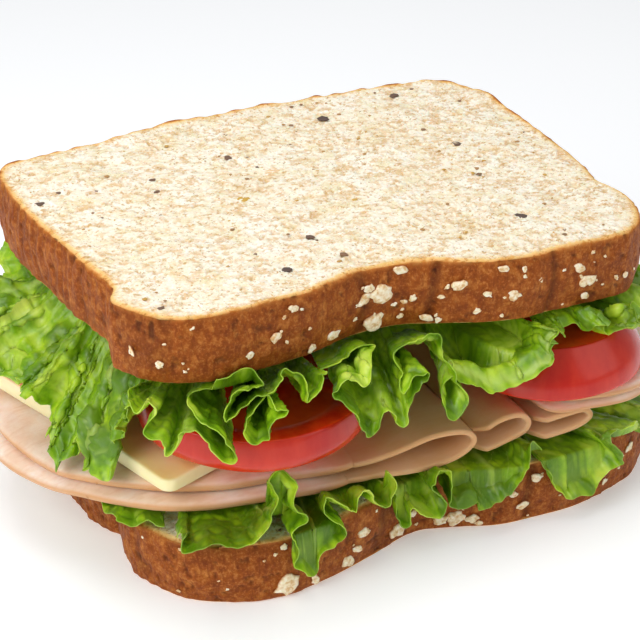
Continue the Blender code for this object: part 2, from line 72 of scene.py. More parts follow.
def cellNoise(x, y, seed=0):  # distance to the nearest and to the second of one scattered point a cell
    cellX, cellY = np.floor(x).astype(np.int64), np.floor(y).astype(np.int64)
    nearest, second = np.full(np.shape(x), 9.0), np.full(np.shape(x), 9.0)
    for dx in (-1, 0, 1):
        for dy in (-1, 0, 1):
            px = cellX + dx + 0.5 + 0.45 * latticeValue(cellX + dx, cellY + dy, 0, seed)
            py = cellY + dy + 0.5 + 0.45 * latticeValue(cellX + dx, cellY + dy, 1, seed)
            distance = np.hypot(px - x, py - y)
            second = np.minimum(second, np.maximum(nearest, distance))
            nearest = np.minimum(nearest, distance)
    return nearest, second


def smoothStep(value, start, end):  # 0 before start, 1 after end, and 3t^2 - 2t^3 between
    share = np.clip((value - start) / (end - start), 0, 1)
    return share * share * (3 - 2 * share)


def softClamp(value, low, high, softness=0.5):  # the value, bent smoothly towards each limit
    value = low + softness * np.logaddexp(0, (value - low) / softness)
    return high - softness * np.logaddexp(0, (high - value) / softness)


def through(points, count, closed=False):  # places at even distances on a Catmull-Rom curve
    knots = np.asarray(points, float)
    if closed:
        padded = np.vstack([knots[-1:], knots, knots[:2]])
    else:
        padded = np.vstack([2 * knots[0] - knots[1], knots, 2 * knots[-1] - knots[-2]])
    steps = np.linspace(0, 1, 12, endpoint=False)[:, None]
    before, start, end, after = [padded[k:len(padded) - 3 + k, None] for k in range(4)]
    line = 0.5 * (2 * start + (end - before) * steps
                  + (2 * before - 5 * start + 4 * end - after) * steps**2
                  + (3 * start - before - 3 * end + after) * steps**3)
    line = np.vstack([line.reshape(-1, knots.shape[1]), padded[-2:-1]])
    lengths = np.concatenate([[0], np.cumsum(np.linalg.norm(np.diff(line, axis=0), axis=1))])
    places = np.linspace(0, lengths[-1], count, endpoint=not closed)
    return np.column_stack([np.interp(places, lengths, column) for column in line.T])


def lengthOf(points, closed=False):  # the sum of the steps along the smooth line
    line = through(points, 400, closed)
    return np.linalg.norm(np.diff(line, axis=0), axis=1).sum()


def edgeAt(outline, turn, middle):  # the outline's place in the direction of turn, seen from its middle
    line = through(outline, 1200, True) - middle
    turns = np.arctan2(line[:, 1], line[:, 0])
    order = np.argsort(turns)
    return [np.interp(turn, turns[order], line[order, k], period=2 * math.pi) for k in (0, 1)]


def beyond(outline, x, y):  # how far a place is outside an outline, on the line from its middle
    middle = through(outline, 240, True).mean(axis=0)
    edgeX, edgeY = edgeAt(outline, np.arctan2(y - middle[1], x - middle[0]), middle)
    return np.hypot(x - middle[0], y - middle[1]) - np.hypot(edgeX, edgeY)


# Meshes

def gridFaces(rows, columns):  # four-cornered faces of a grid whose places run row by row
    at = np.arange(rows * columns).reshape(rows, columns)
    return np.stack([at[:-1, :-1], at[:-1, 1:], at[1:, 1:], at[1:, :-1]], -1).reshape(-1, 4)


def ringFaces(rings):  # four-cornered faces between each closed ring of places and the next
    beside = np.roll(rings, -1, 1)
    return np.stack([rings[:-1], beside[:-1], beside[1:], rings[1:]], -1).reshape(-1, 4)


def capFaces(ring, middle):  # three-cornered faces from a closed ring to one place
    return np.stack([np.roll(ring, -1), ring, np.full(len(ring), middle)], -1)


def gridLoop(rows, columns):  # the places round the edge of a grid, in order
    at = np.arange(rows * columns).reshape(rows, columns)
    return np.concatenate([at[0, :-1], at[:-1, -1], at[-1, :0:-1], at[:0:-1, 0]])


def normalsOf(surface):  # the cross product of the steps along the two ways of the grid
    across = np.gradient(surface, axis=1)
    along = np.gradient(surface, axis=0)
    normal = np.cross(across, along)
    return normal / np.maximum(np.linalg.norm(normal, axis=-1, keepdims=True), 1e-9)


def addObject(name, data):  # stays at the origin unless it is a lamp, the camera or the table
    made = bpy.data.objects.new(name, data)
    bpy.context.scene.collection.objects.link(made)
    return made


def addPiece(name, points, faces, finish, marks, triangles=None):
    # Puts whole arrays of places, faces and marks into one smooth mesh that rides on the body
    triangles = np.zeros((0, 3), int) if triangles is None else triangles
    a, b, c, d = [points[faces[:, k]] - points.mean(axis=0) for k in range(4)]
    volume = (np.einsum("ij,ij->i", a, np.cross(b, c)) + np.einsum("ij,ij->i", a, np.cross(c, d))).sum()
    if volume < 0:  # the faces are turned so that they point outwards
        faces, triangles = faces[:, ::-1], triangles[:, ::-1]
    mesh = bpy.data.meshes.new(name)
    mesh.vertices.add(len(points))
    mesh.vertices.foreach_set("co", (points * millimetre).astype(np.float32).ravel())
    corners = np.concatenate([faces.ravel(), triangles.ravel()])
    starts = np.concatenate([np.arange(len(faces)) * 4, len(faces) * 4 + np.arange(len(triangles)) * 3])
    mesh.loops.add(len(corners))
    mesh.polygons.add(len(starts))
    mesh.polygons.foreach_set("loop_start", starts.astype(np.int32))
    mesh.loops.foreach_set("vertex_index", corners.astype(np.int32))
    mesh.update(calc_edges=True)
    mesh.validate()
    mesh.shade_smooth()
    for mark, values in marks.items():
        layer = mesh.attributes.new(mark, "FLOAT", "POINT")
        layer.data.foreach_set("value", np.asarray(values, np.float32).ravel())
    mesh.materials.append(finish)
    piece = addObject(name, mesh)
    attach(piece, "root")
    return piece


def addSheet(name, middle, thickness, finish, marks):
    # Both faces lie half the thickness off the middle along its normals, joined by a rim
    rows, columns = middle.shape[:2]
    offset = normalsOf(middle) * np.broadcast_to(thickness, (rows, columns))[..., None] / 2
    points = np.concatenate([(middle + offset).reshape(-1, 3), (middle - offset).reshape(-1, 3)])
    front, loop, count = gridFaces(rows, columns), gridLoop(rows, columns), rows * columns
    following = np.roll(loop, -1)
    rim = np.stack([following, loop, loop + count, following + count], -1)
    faces = np.concatenate([front, front[:, ::-1] + count, rim])
    both = {mark: np.tile(np.broadcast_to(values, (rows, columns)).ravel(), 2) for mark, values in marks.items()}
    return addPiece(name, points, faces, finish, both)


# Materials

def linearColour(hexColour):  # sRGB hex to the linear values that a shader takes
    values = [int(hexColour[k:k + 2], 16) / 255 for k in (1, 3, 5)]
    return (*[v / 12.92 if v <= 0.04045 else ((v + 0.055) / 1.055) ** 2.4 for v in values], 1.0)


def newMaterial(name, **settings):  # settings are the shader's own sockets, with _ for a space
    made = bpy.data.materials.new(name)
    made.use_nodes = True
    for socket, value in settings.items():
        made.node_tree.nodes["Principled BSDF"].inputs[socket.replace("_", " ")].default_value = value
    return made, made.node_tree


def addNode(tree, kind, links=(), take=0, stops=(), **settings):
    # Settings name the node's own values or its sockets, and links are the same in pairs, by name or number.
    # Each gets a value, a hex colour, another node's output, the name of a mark on the mesh, or a noise, written
    # as its coordinates, repeats a millimetre, detail and roughness. Stops are a ramp's places, each with a hex
    # colour or a grey level. What comes back is the output that take names.
    made = tree.nodes.new("ShaderNode" + kind)
    for key, source in [*settings.items(), *links]:
        if hasattr(made, str(key)):
            setattr(made, key, source)
            continue
        if isinstance(source, tuple) and isinstance(source[0], bpy.types.NodeSocket):
            source = addNode(tree, "TexNoise", zip(("Vector", "Scale", "Detail", "Roughness"), source))
        elif isinstance(source, str) and source[0] == "#":
            source = linearColour(source)
        elif isinstance(source, str):
            source = addNode(tree, "Attribute", take="Fac", attribute_name=source)
        if isinstance(source, bpy.types.NodeSocket):
            tree.links.new(source, made.inputs[key])
        else:
            made.inputs[key].default_value = source
    elements = made.color_ramp.elements if stops else ()
    while len(elements) < len(stops):
        elements.new(0.5)
    for element, (place, colour) in zip(elements, stops):
        element.position = place
        element.color = linearColour(colour) if isinstance(colour, str) else (colour, colour, colour, 1)
    return made.outputs[take]


def inMillimetres(tree, stretch=(1, 1, 1)):  # Object coordinates, so that a scale of 1 repeats each millimetre
    place = addNode(tree, "TexCoord", take="Object")
    return addNode(tree, "Mapping", Vector=place, Scale=[1 / millimetre * s for s in stretch])


def laidOver(tree, under, layers):
    # Lays each layer's colour over those under it. A layer is its source, the stops of the share that it
    # covers, and its colour.
    for source, stops, colour in layers:
        share = addNode(tree, "ValToRGB", Fac=source, stops=stops)
        under = addNode(tree, "Mix", [(0, share), (6, under), (7, colour)], take=2, data_type="RGBA")
    return under


def multiplied(tree, first, second):  # the first colour, darkened by the second
    links = [(0, 1.0), (6, first), (7, second)]
    return addNode(tree, "Mix", links, take=2, data_type="RGBA", blend_type="MULTIPLY")


def finished(made, colour, height, strength, depth):  # joins colour and relief to the shader, depth in millimetres
    tree = made.node_tree
    shader = tree.nodes["Principled BSDF"]
    relief = addNode(tree, "Bump", Height=height, Strength=strength, Distance=depth * millimetre)
    tree.links.new(colour, shader.inputs["Base Color"])
    tree.links.new(relief, shader.inputs["Normal"])
    return made


# Bread: a slice is a squared grid bent to the slice's outline, with a side and an underside hung on its edge

bread = {
    "thick": 15.0, "bulge": 0.9, "columns": 280, "rows": 200, "sideRings": 26, "squareness": 0.72,
    "pitDepth": 0.4, "wrinkleHeight": 0.34, "dents": 0.45, "grain": 0.16, "crownFrom": -30, "edgeBrown": 0.56,
    "upperBase": 56.8, "upperRise": (-0.05, 0.045),  # rise of the upper slice along X and along Y
    "poreDepth": 0.55, "crumbRelief": 0.35, "rimRound": 0.45,
    "upperCreases": [(4, 0.9, 1.1), (30.5, 0.7, 1.0), (-13, 0.35, 1.6)],  # place along X, depth, half width
    "lowerCreases": [(28.5, 1.0, 1.2), (-8, 0.35, 1.5)],
}
upperOutline = [
    (-70, 26), (-70.5, 10), (-68, -5), (-65.5, -19), (-63.2, -29.5), (-65.3, -35), (-63.7, -39.5), (-58.5, -45),
    (-49, -47.3), (-38, -46), (-27, -43.8), (-15, -39.5), (-4, -38.3), (5, -40.2), (16, -43), (24, -43.7),
    (31, -42.8), (43, -41.8), (52, -39.8), (58.2, -33), (60.6, -24), (58.2, -15.5), (59.3, -6), (59, 8), (57.6, 27),
    (56.2, 38), (49, 46.5), (34, 47), (8, 45), (-20, 41.5), (-45, 35), (-62, 30.5),
]
lowerOutline = [
    (-65, 20), (-63.5, 4), (-61, -7), (-57.8, -12.7), (-60.2, -20), (-59.8, -28), (-54.6, -38.5), (-46, -44.5),
    (-34, -47.2), (-22, -45.3), (-10, -41.4), (1.5, -37.2), (10, -38.2), (21, -42.2), (31, -42.8), (41, -42.6),
    (51, -40), (60, -36.2), (66, -30), (67.5, -22), (64.5, -12), (65, -3), (64, 14), (63, 30), (60.5, 41), (52, 47),
    (28, 47.5), (0, 46), (-28, 44), (-52, 42), (-62, 37),
]


def upperUnderside(x, y):  # a plane that tilts a little both ways
    return bread["upperBase"] + bread["upperRise"][0] * x + bread["upperRise"][1] * y


def lowerUnderside(x, y):  # flat on the table
    return 0 * x


def bakedBread():
    # Baked wheat bread: a matt, open, cream crumb that browns to gold at its edge, inside a thin
    # tight crust with a dull sheen. Bake is 0 in the crumb, 1 on the crust; the holes and pits are painted darker, as
    # painted shade.
    made, tree = newMaterial("Baked wholegrain bread", Roughness=0.72, IOR=1.4, Specular_IOR_Level=0.25,
                             Subsurface_Weight=0.12, Subsurface_Scale=0.002)
    place, upright = inMillimetres(tree), inMillimetres(tree, (1, 1, 0.35))
    stretched = inMillimetres(tree, (0.8, 1, 1))  # the loaf's crumb is drawn out a little along X
    crumb = laidOver(tree, "#FDF7E6", [
        ((place, 0.09, 3, 0.6), [(0.36, 0.0), (0.68, 1.0)], "#F7EACD"),  # broad tone, then marks of 5 to 0.5 mm
        ((stretched, 0.22, 2, 0.55), [(0.5, 0.0), (0.68, 0.6)], "#E9D6A0"),
        ((stretched, 0.36, 2, 0.55), [(0.56, 0.0), (0.64, 0.7)], "#DDB57C"),
        ((stretched, 0.5, 2, 0.55), [(0.54, 0.0), (0.66, 0.6)], "#E8C694"),
        ((stretched, 0.9, 2, 0.55), [(0.58, 0.0), (0.66, 0.8)], "#CFA468"),
        ((stretched, 1.5, 2, 0.55), [(0.64, 0.0), (0.7, 0.7)], "#A98250"),
        ((stretched, 2.2, 2, 0.55), [(0.54, 0.0), (0.64, 0.6)], "#FFFFF8"),
        # painted shade: the crumb is darker in its holes
        ("pore", [(0.2, 0.0), (1.0, 0.75)], "#D0A870"),
    ])
    mottle = addNode(tree, "TexNoise", Vector=place, Scale=0.4, Detail=6, Roughness=0.7)
    crust = addNode(tree, "ValToRGB", Fac=mottle, stops=[(0.3, "#743408"), (0.5, "#964C12"), (0.68, "#BC7430")])
    crust = laidOver(tree, crust, [
        ((place, 1.6, 3, 0.7), [(0.52, 0.0), (0.7, 0.4)], "#C88446"),  # grains
        ((upright, 1.1, 3, 0.7), [(0.5, 0.0), (0.7, 0.8)], "#78340C"),  # dark upright streaks
        # painted shade: the crust is darkest in its pits, crease grooves and wrinkle hollows
        ("pore", [(0.0, 0.0), (1.0, 1.0)], "#54270B"),
    ])
    wander = addNode(tree, "Math", [(0, mottle), (1, 0.5)], operation="SUBTRACT")
    uneven = addNode(tree, "Math", [(0, wander), (1, 0.35), (2, "bake")], operation="MULTIPLY_ADD")
    gold = addNode(tree, "ValToRGB", Fac=uneven,
                   stops=[(0.04, "#FFFFFF"), (0.3, "#F8D9A0"), (0.6, "#E3A662"), (0.9, "#C87C36")])
    colour = laidOver(tree, multiplied(tree, crumb, gold), [(uneven, [(0.5, 0.0), (0.86, 1.0)], crust)])
    dull = addNode(tree, "ValToRGB", Fac="bake", stops=[(0.4, 0.85), (1.0, 0.56)])
    tree.links.new(dull, tree.nodes["Principled BSDF"].inputs["Roughness"])
    holes = addNode(tree, "TexVoronoi", Vector=stretched, Scale=0.9, feature="F1")
    height = addNode(tree, "Mix", [(0, 0.6), (6, holes), (7, (place, 1.5, 4, 0.7))], take=2, data_type="RGBA")
    return finished(made, colour, height, 0.6, 0.4)


def sliceOfBread(name, outline, underside, creases, seed, finish, node):
    # Top: each place keeps its direction from the middle and reaches out in proportion to the outline.
    # Side: the outline moved out by bulge times the sine of the height, with dents, pits and wrinkles.
    columns, rows, thick = bread["columns"] + 1, bread["rows"] + 1, bread["thick"]
    a, b = np.meshgrid(np.linspace(-1, 1, columns), np.linspace(-1, 1, rows))
    size = np.maximum(abs(a), abs(b))
    edgeX, edgeY = edgeAt(outline, np.arctan2(b * bread["squareness"], a), (0, 0))
    x, y = size * edgeX, size * edgeY
    inset = (1 - size) * np.hypot(edgeX, edgeY)  # distance in from the crust
    wide, _ = cellNoise(x / 2.3 + 0.4 * smoothNoise(x / 2, y / 2, 0, seed), y / 1.8, seed)
    fine, _ = cellNoise(x / 1.1, y / 0.9, seed + 5)
    holed = smoothStep(roughNoise(x / 6, y / 4, 0, seed + 9), -0.5, 0.7)
    # the pores sink the top a little, and the same share paints shade into them
    pore = 0.75 * smoothStep(wide, 0.42, 0.16) * holed + 0.45 * smoothStep(fine, 0.4, 0.15)
    pore *= smoothStep(inset, 0.3, 1.5)
    relief = bread["crumbRelief"] * roughNoise(x / 9, y / 7, 0, seed + 2, 3)
    lip = bread["rimRound"] * smoothStep(inset, 0.9, 0)
    ragged = 0.5 + 0.5 * smoothNoise(x / 2.5, y / 2.5, 0, seed + 3)
    ridge = smoothStep(inset, 1.1, 0.2) * smoothStep(y, -5, 20) * ragged  # the crust stands proud at the back
    top = np.stack([x, y, thick + 0.1 + relief - bread["poreDepth"] * pore - lip * (1 - ridge) + 0.3 * ridge], -1)
    bakeTop = np.maximum(bread["edgeBrown"] * np.exp(-inset / 1.1), ridge)

    loop = gridLoop(rows, columns)
    edge = top.reshape(-1, 3)[loop, :2]
    along = np.roll(edge, -1, 0) - np.roll(edge, 1, 0)
    out = np.stack([along[:, 1], -along[:, 0]], -1)
    out *= np.sign((out * edge).sum(1)).mean() / np.linalg.norm(out, axis=1, keepdims=True)
    height = np.linspace(0.965, 0.02, bread["sideRings"])[:, None]
    sideX, sideY = edge[:, 0] + 0 * height, edge[:, 1] + 0 * height
    sideZ = thick * height + 0 * sideX
    pitted = smoothStep(roughNoise(sideX / 2.0, sideY / 2.0, sideZ / 1.6, seed + 20, 3), 0.5, 0.95)
    wrinkled = smoothStep(sideX, -44, -58)  # fine upright wrinkles at the lobe on the left
    wrinkles = wrinkled * smoothNoise((sideX + sideY) / 0.9, sideZ / 5, 0, seed + 30)
    push = bread["bulge"] * np.sin(math.pi * height) ** 0.7
    push = push + bread["dents"] * roughNoise(sideX / 11, sideY / 11, sideZ / 8, seed + 40, 4)
    push = push + bread["grain"] * roughNoise(sideX / 1.6, sideY / 1.6, sideZ / 2.2, seed + 50, 2)
    push = push + bread["wrinkleHeight"] * wrinkles - bread["pitDepth"] * pitted
    crown = sideY < bread["crownFrom"]
    groove = np.zeros_like(sideX)
    for place, depth, half in creases:
        bend = place + 0.8 * np.sin(sideZ / 4 + place)
        cut = np.exp(-((sideX - bend) / half) ** 2) * crown
        groove += cut
        push = push - depth * cut
    sideX, sideY = sideX + out[:, 0] * push, sideY + out[:, 1] * push
    side = np.stack([sideX, sideY, sideZ], -1)
    fromEdge = np.minimum(thick - sideZ, sideZ * 1.3 + 0.4)
    bakeSide = 1 - 0.4 * np.exp(-fromEdge / 1.2)
    # painted shade on the side: pits, crease grooves and the hollows between wrinkles are darkened
    sidePoreShade = np.clip(0.6 * pitted + 0.5 * groove + 0.25 * wrinkled * smoothStep(wrinkles, -0.1, -0.7), 0, 1)

    shrink = np.array([0.993, 0.97, 0.85, 0.6, 0.3])[:, None]
    under = np.stack([edge[:, 0] * shrink, edge[:, 1] * shrink, 0 * shrink + 0 * edge[:, 0]], -1)
    points = np.concatenate([top.reshape(-1, 3), side.reshape(-1, 3), under.reshape(-1, 3), [[0, 0, 0]]])
    points[:, 2] += underside(points[:, 0], points[:, 1])
    points[:, 2] = np.maximum(points[:, 2], 0)  # nothing dips below the table
    rings = len(side) + len(under)
    count, around = rows * columns, len(loop)
    hung = np.vstack([loop, (np.arange(rings * around) + count).reshape(rings, around)])
    beside = np.roll(hung, -1, 1)
    faces = np.concatenate([
        gridFaces(rows, columns),
        np.stack([hung[:-1], hung[1:], beside[1:], beside[:-1]], -1).reshape(-1, 4),
    ])
    bakeUnder = bread["edgeBrown"] * np.exp(-(1 - shrink) * 60 / 1.1) + 0 * edge[:, 0]
    marks = {
        "bake": np.concatenate([bakeTop.ravel(), bakeSide.ravel(), bakeUnder.ravel(), [0]]),
        "pore": np.concatenate([pore.ravel(), sidePoreShade.ravel(), 0 * bakeUnder.ravel(), [0]]),
    }
    piece = addPiece(name, points, faces, finish, marks, capFaces(hung[-1], len(points) - 1))
    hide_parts(node)


breadFinish = bakedBread()
sliceOfBread("upperSlice", upperOutline, upperUnderside, bread["upperCreases"], 11, breadFinish, "bread_upper")
sliceOfBread("lowerSlice", lowerOutline, lowerUnderside, bread["lowerCreases"], 47, breadFinish, "bread_lower")
print("bread done")


# Flakes: each is a lens, its edge made uneven by noise, and all of one kind are one mesh

flakes = {
    "latitudes": 9, "longitudes": 16, "thickness": 0.3,  # the thickness as a share of the length
    "upperOats": [  # place along X, height above the slice's underside, length
        (-62.5, 6.3, 2.2), (-58.8, 4.7, 1.9), (-41, 4.7, 2.1), (-30.5, 12.3, 2.4), (-34.9, 7, 2.6),
        (-32.3, 5.3, 1.2), (-25.9, 1.6, 2.2), (-20.3, 2.6, 3.8), (-14.6, 4.4, 1.2), (-12.3, 8.4, 3.4),
        (-7.9, 9.1, 5.2), (-9.7, 2.6, 4.8), (-3.2, 13.6, 3), (-4.9, 5.8, 1.4), (-2.5, 6.2, 1.6), (-0.6, 6.8, 1.8),
        (-3.2, 2.7, 1.6), (2.4, 1.8, 2.8), (5, 1.2, 1.6), (9.1, 9.5, 3.8), (6.6, 9.3, 1.4), (5.4, 7, 1.6),
        (15, 7.4, 2), (18.6, 12.9, 2.4), (21, 6.8, 3.6), (23.2, 12.2, 1.6), (23.3, 10.6, 1.2), (27, 9.1, 2),
        (37.4, 9.8, 3), (39.8, 6.4, 3.6), (39.3, 2.4, 2.2), (47.5, 5.2, 1.6), (50, 5.3, 1.8), (13, 3.4, 1.8),
        (-11, 10.6, 2.4),
    ],
    "lowerOats": [
        (-46.8, 6.7, 1.9), (-33.9, 13.2, 1.8), (-33.6, 3.6, 6), (-26.5, 2, 2.6), (-17.9, 2.8, 3.6), (-13.7, 8.7, 4),
        (-3.3, 3.6, 4.6), (8.5, 2.6, 3.6), (11.8, 2.8, 4.2), (15.4, 2.6, 3), (16.9, 1.4, 1.8), (29.8, 11.6, 3),
        (26.4, 5.1, 2.8), (56.8, 9.7, 2.6), (-44, 8, 1.2), (24, 8.5, 2.2), (1, 6.2, 2.4), (-15.5, 5, 2.8),
        (49, 4, 2), (60.5, 12.6, 2.2),
    ],
    "bran": [  # flecks on the crumb: place along X and Y, length, tint from dark to golden
        (-66.3, 8.5, 2.2, 0.1), (11.2, 32.7, 2.8, 0.0), (35.4, 11.1, 2.8, 0.1), (31.9, -26.8, 2.5, 0.0),
        (-16.7, -22.5, 2.0, 0.1), (-13, -31.7, 2.0, 0.3), (33.7, 40.7, 2.3, 0.1), (-57.2, -41.9, 1.9, 0.2),
        (-23.8, -2.1, 3.1, 1.0), (-18.9, 18.8, 2.0, 0.2), (-27.1, -34.3, 2.2, 0.0), (-39.2, 12.8, 1.6, 0.2),
        (32.9, -5.1, 1.3, 0.3), (-40.2, 6.9, 1.4, 0.2),
    ],
}


def lensShapes(centres, alongs, outs, lengths, widths, heights, draw):
    # A unit ball whose reach round its equator varies by noise, scaled to length, width and height
    # along three directions: [flake, latitude, longitude]. Returns points and a 0 to 1 mark of height.
    rows, columns, count = flakes["latitudes"], flakes["longitudes"], len(centres)
    up = np.linspace(math.pi / 2, -math.pi / 2, rows)[None, :, None]
    turn = np.linspace(0, 2 * math.pi, columns, endpoint=False)[None, None, :]
    which = np.arange(count)[:, None, None] * 7.3
    reach = 1 + 0.4 * smoothNoise(1.9 * np.cos(turn) + which, 1.9 * np.sin(turn), 0, 3)
    groove = 0.35 * np.exp(-(np.cos(up) * np.sin(turn) * reach / 0.16) ** 2)
    lumps = 0.2 * smoothNoise(3 * np.cos(up) * np.cos(turn) + which, 3 * np.cos(up) * np.sin(turn), 2, 8)
    flat = np.cos(up) ** 0.6 * reach
    p = flat * np.cos(turn) * lengths[:, None, None] / 2
    q = flat * np.sin(turn) * widths[:, None, None] / 2
    r = np.sin(up) * (1 - groove + lumps) * heights[:, None, None] / 2
    side = np.cross(outs, alongs)
    spin = draw.uniform(-0.7, 0.7, count)[:, None]
    first, second = alongs * np.cos(spin) + side * np.sin(spin), side * np.cos(spin) - alongs * np.sin(spin)
    points = (centres[:, None, None] + p[..., None] * first[:, None, None]
              + q[..., None] * second[:, None, None] + r[..., None] * outs[:, None, None])
    return points, 0.5 + 0.5 * np.sin(up) + 0 * p


def addLenses(name, shapes, tints, finish):
    # Rings joined from pole to pole in every lens at once; the places that the poles don't use are left out
    points, raised = shapes
    count, rows, columns = points.shape[:3]
    at = np.arange(rows * columns).reshape(rows, columns)
    caps = np.concatenate([capFaces(at[1], at[0, 0]), capFaces(at[-2], at[-1, 0])[:, ::-1]])
    first = (np.arange(count) * rows * columns)[:, None, None]
    faces, caps = (ringFaces(at[1:-1]) + first).reshape(-1, 4), (caps + first).reshape(-1, 3)
    used = np.unique(np.concatenate([faces.ravel(), caps.ravel()]))
    renumber = np.zeros(count * rows * columns, int)
    renumber[used] = np.arange(len(used))
    marks = {"raised": raised.ravel()[used], "tint": np.repeat(tints, rows * columns)[used]}
    addPiece(name, points.reshape(-1, 3)[used], renumber[faces], finish, marks, renumber[caps])


def oatFlake():
    # Rolled oat: a matt cream flake, paler on its back, with a tan rim where it is pressed in
    made, tree = newMaterial("Rolled oat", Roughness=0.75, IOR=1.4, Subsurface_Weight=0.1, Subsurface_Scale=0.001)
    place = inMillimetres(tree)
    back = addNode(tree, "ValToRGB", Fac=(place, 0.9, 3, 0.6),
                   stops=[(0.35, "#D9AE76"), (0.5, "#F3DFB8"), (0.7, "#FFF6E2")])
    rim = addNode(tree, "ValToRGB", Fac="raised", stops=[(0.4, "#C98F58"), (0.75, "#FFFFFF")])
    return finished(made, multiplied(tree, back, rim), (place, 2.5, 3, 0.6), 0.4, 0.3)


def branFleck():
    # Bran, seed husk and cracked grain: dark brown to golden, matt, baked into the crumb
    made, tree = newMaterial("Wheat bran", Roughness=0.6, IOR=1.45)
    colour = addNode(tree, "ValToRGB", Fac="tint",
                     stops=[(0.0, "#5A4840"), (0.25, "#7C5E4A"), (0.5, "#AC8050"), (1.0, "#D2A648")])
    return finished(made, colour, (inMillimetres(tree), 2.5, 3, 0.6), 0.4, 0.3)


def crownFlakes(name, outline, underside, listed, small, seed, finish):
    # Each flake lies on the crust: its place is on the outline, its faces square to the crust
    draw = np.random.default_rng(seed)
    edge = through(outline, 1200, True)
    edge = edge[edge[:, 1] < -25]
    edge = edge[np.argsort(edge[:, 0])]
    extra = np.column_stack([draw.uniform(low, high, small) for low, high in ((-60, 56), (1.5, 13.5), (0.5, 1.1))])
    x, height, length = np.vstack([np.array(listed), extra]).T
    y = np.interp(x, edge[:, 0], edge[:, 1])
    slope = np.interp(x + 1.5, edge[:, 0], edge[:, 1]) - np.interp(x - 1.5, edge[:, 0], edge[:, 1])
    alongs = np.stack([3 + 0 * slope, slope, 0 * slope], -1)
    alongs /= np.linalg.norm(alongs, axis=1, keepdims=True)
    outs = np.stack([alongs[:, 1], -alongs[:, 0], 0 * x], -1)
    centres = np.stack([x, y, underside(x, y) + height], -1)
    centres += outs * (bread["bulge"] * np.sin(math.pi * np.clip(height / bread["thick"], 0, 1)) ** 0.7 + 0.15)[:, None]
    widths = length * draw.uniform(0.6, 0.85, len(x))
    shapes = lensShapes(centres, alongs, outs, length, widths, np.clip(length * flakes["thickness"], 0.5, 1.5), draw)
    addLenses(name, shapes, draw.random(len(x)), finish)


def crumbFlecks(name, outline, underside, listed, small, seed, finish):
    # The listed flecks and small ones strewn evenly over the outline, all lying flat on the crumb
    draw = np.random.default_rng(seed)
    turn, size = draw.uniform(0, 2 * math.pi, small), np.sqrt(draw.uniform(0.02, 0.9, small))
    edgeX, edgeY = edgeAt(outline, turn, (0, 0))
    extra = np.column_stack([size * edgeX, size * edgeY, draw.uniform(0.5, 1.2, small), draw.uniform(0.2, 1, small)])
    x, y, length, tints = np.vstack([np.array(listed).reshape(-1, 4), extra]).T
    turned = draw.uniform(-0.6, 0.6, len(x))
    alongs = np.stack([np.cos(turned), np.sin(turned), 0 * x], -1)
    outs = np.stack([0 * x, 0 * x, 1 + 0 * x], -1)
    centres = np.stack([x, y, underside(x, y) + bread["thick"] + 0.02 + 0 * x], -1)
    widths = length * draw.uniform(0.65, 0.95, len(x))
    shapes = lensShapes(centres, alongs, outs, length, widths, np.clip(length * 0.22, 0.3, 0.6), draw)
    addLenses(name, shapes, tints, finish)


oatFinish, branFinish = oatFlake(), branFleck()
crownFlakes("upperOats", upperOutline, upperUnderside, flakes["upperOats"], 30, 5, oatFinish)
crownFlakes("lowerOats", lowerOutline, lowerUnderside, flakes["lowerOats"], 26, 6, oatFinish)
crumbFlecks("upperBran", upperOutline, upperUnderside, flakes["bran"], 110, 7, branFinish)
crumbFlecks("lowerBran", lowerOutline, lowerUnderside, [], 60, 8, branFinish)
print("flakes done")


# Turkey: flat sheets under the left and right of the sandwich, and folded ones between

turkey = {
    "rows": 120, "foldThick": 1.35, "droop": 2.2, "wave": 0.15, "edgeRound": 0.6,
    "flat": {  # base is the height of the underside
        "turkey_lower": {"base": 20.4, "thick": 2.9, "outline": [
            (-82, 7), (-80.5, -4), (-77, -12.5), (-72, -20.5), (-66, -27.5), (-58, -34.5), (-48, -38.5),
            (-38, -40.5), (-27, -42.2), (-19, -43), (-15, -42.1), (-12.5, -40), (-12, -35), (-15, 10), (-19, 34),
            (-27, 47), (-42, 49), (-58, 45), (-72, 36), (-80, 22)]},
        "turkey_upper": {"base": 23.8, "thick": 2.9, "outline": [
            (-80, 7), (-77, -7), (-73, -16), (-67, -24), (-62, -28.8), (-54, -34), (-44, -37.5), (-34, -39),
            (-25, -41.2), (-18, -42.8), (-14, -42), (-11.5, -40), (-11, -35), (-16, 20), (-24, 40), (-38, 47),
            (-55, 44), (-70, 34), (-78, 21)]},
        "turkey_right": {"base": 27.2, "thick": 1.8, "outline": [
            (31, 0), (31, -30), (33, -42), (42, -44.2), (52, -44.4), (60, -40), (66, -30), (68.5, -14), (68, 4),
            (65, 22), (58, 38), (46, 47), (35, 44), (31.5, 30)]},
        "turkey_topmost": {"base": 29.6, "thick": 2.6, "outline": [
            (33, 0), (33, -30), (35, -42), (43, -45), (52, -45.2), (60, -41.5), (66.5, -31), (69.5, -14), (69, 4),
            (66, 22), (59, 37), (47, 45), (37, 42), (33.5, 28)]},
    },
    "folded": {  # gape is how far the front parts, tuck how far the ends lie back, section x and z round the fold
        "turkey_fold_left": {"front": -43, "back": 46, "gape": 1.7, "tuck": 0.5, "section": [
            (-17, 21.8), (-8, 21.4), (2, 21.3), (10, 22.1), (13.4, 24.7), (11.3, 27.3), (4, 27.6), (-6, 26.3),
            (-15.5, 25.3)]},
        "turkey_fold_middle": {"front": -41.5, "back": 47, "gape": 1.5, "tuck": 5.0, "section": [
            (13.8, 21.2), (21, 21.3), (26.6, 22.8), (27.8, 25.4), (25.4, 27.5), (20.5, 26.8), (15.6, 24.4)]},
        "turkey_fold_right": {"front": -42.5, "back": 45, "gape": 1.0, "tuck": 5.0, "section": [
            (28.2, 21.2), (36, 21.0), (41, 21.9), (43.2, 23.9), (41.2, 25.8), (36, 25.3), (30.2, 24.2)]},
    },
}


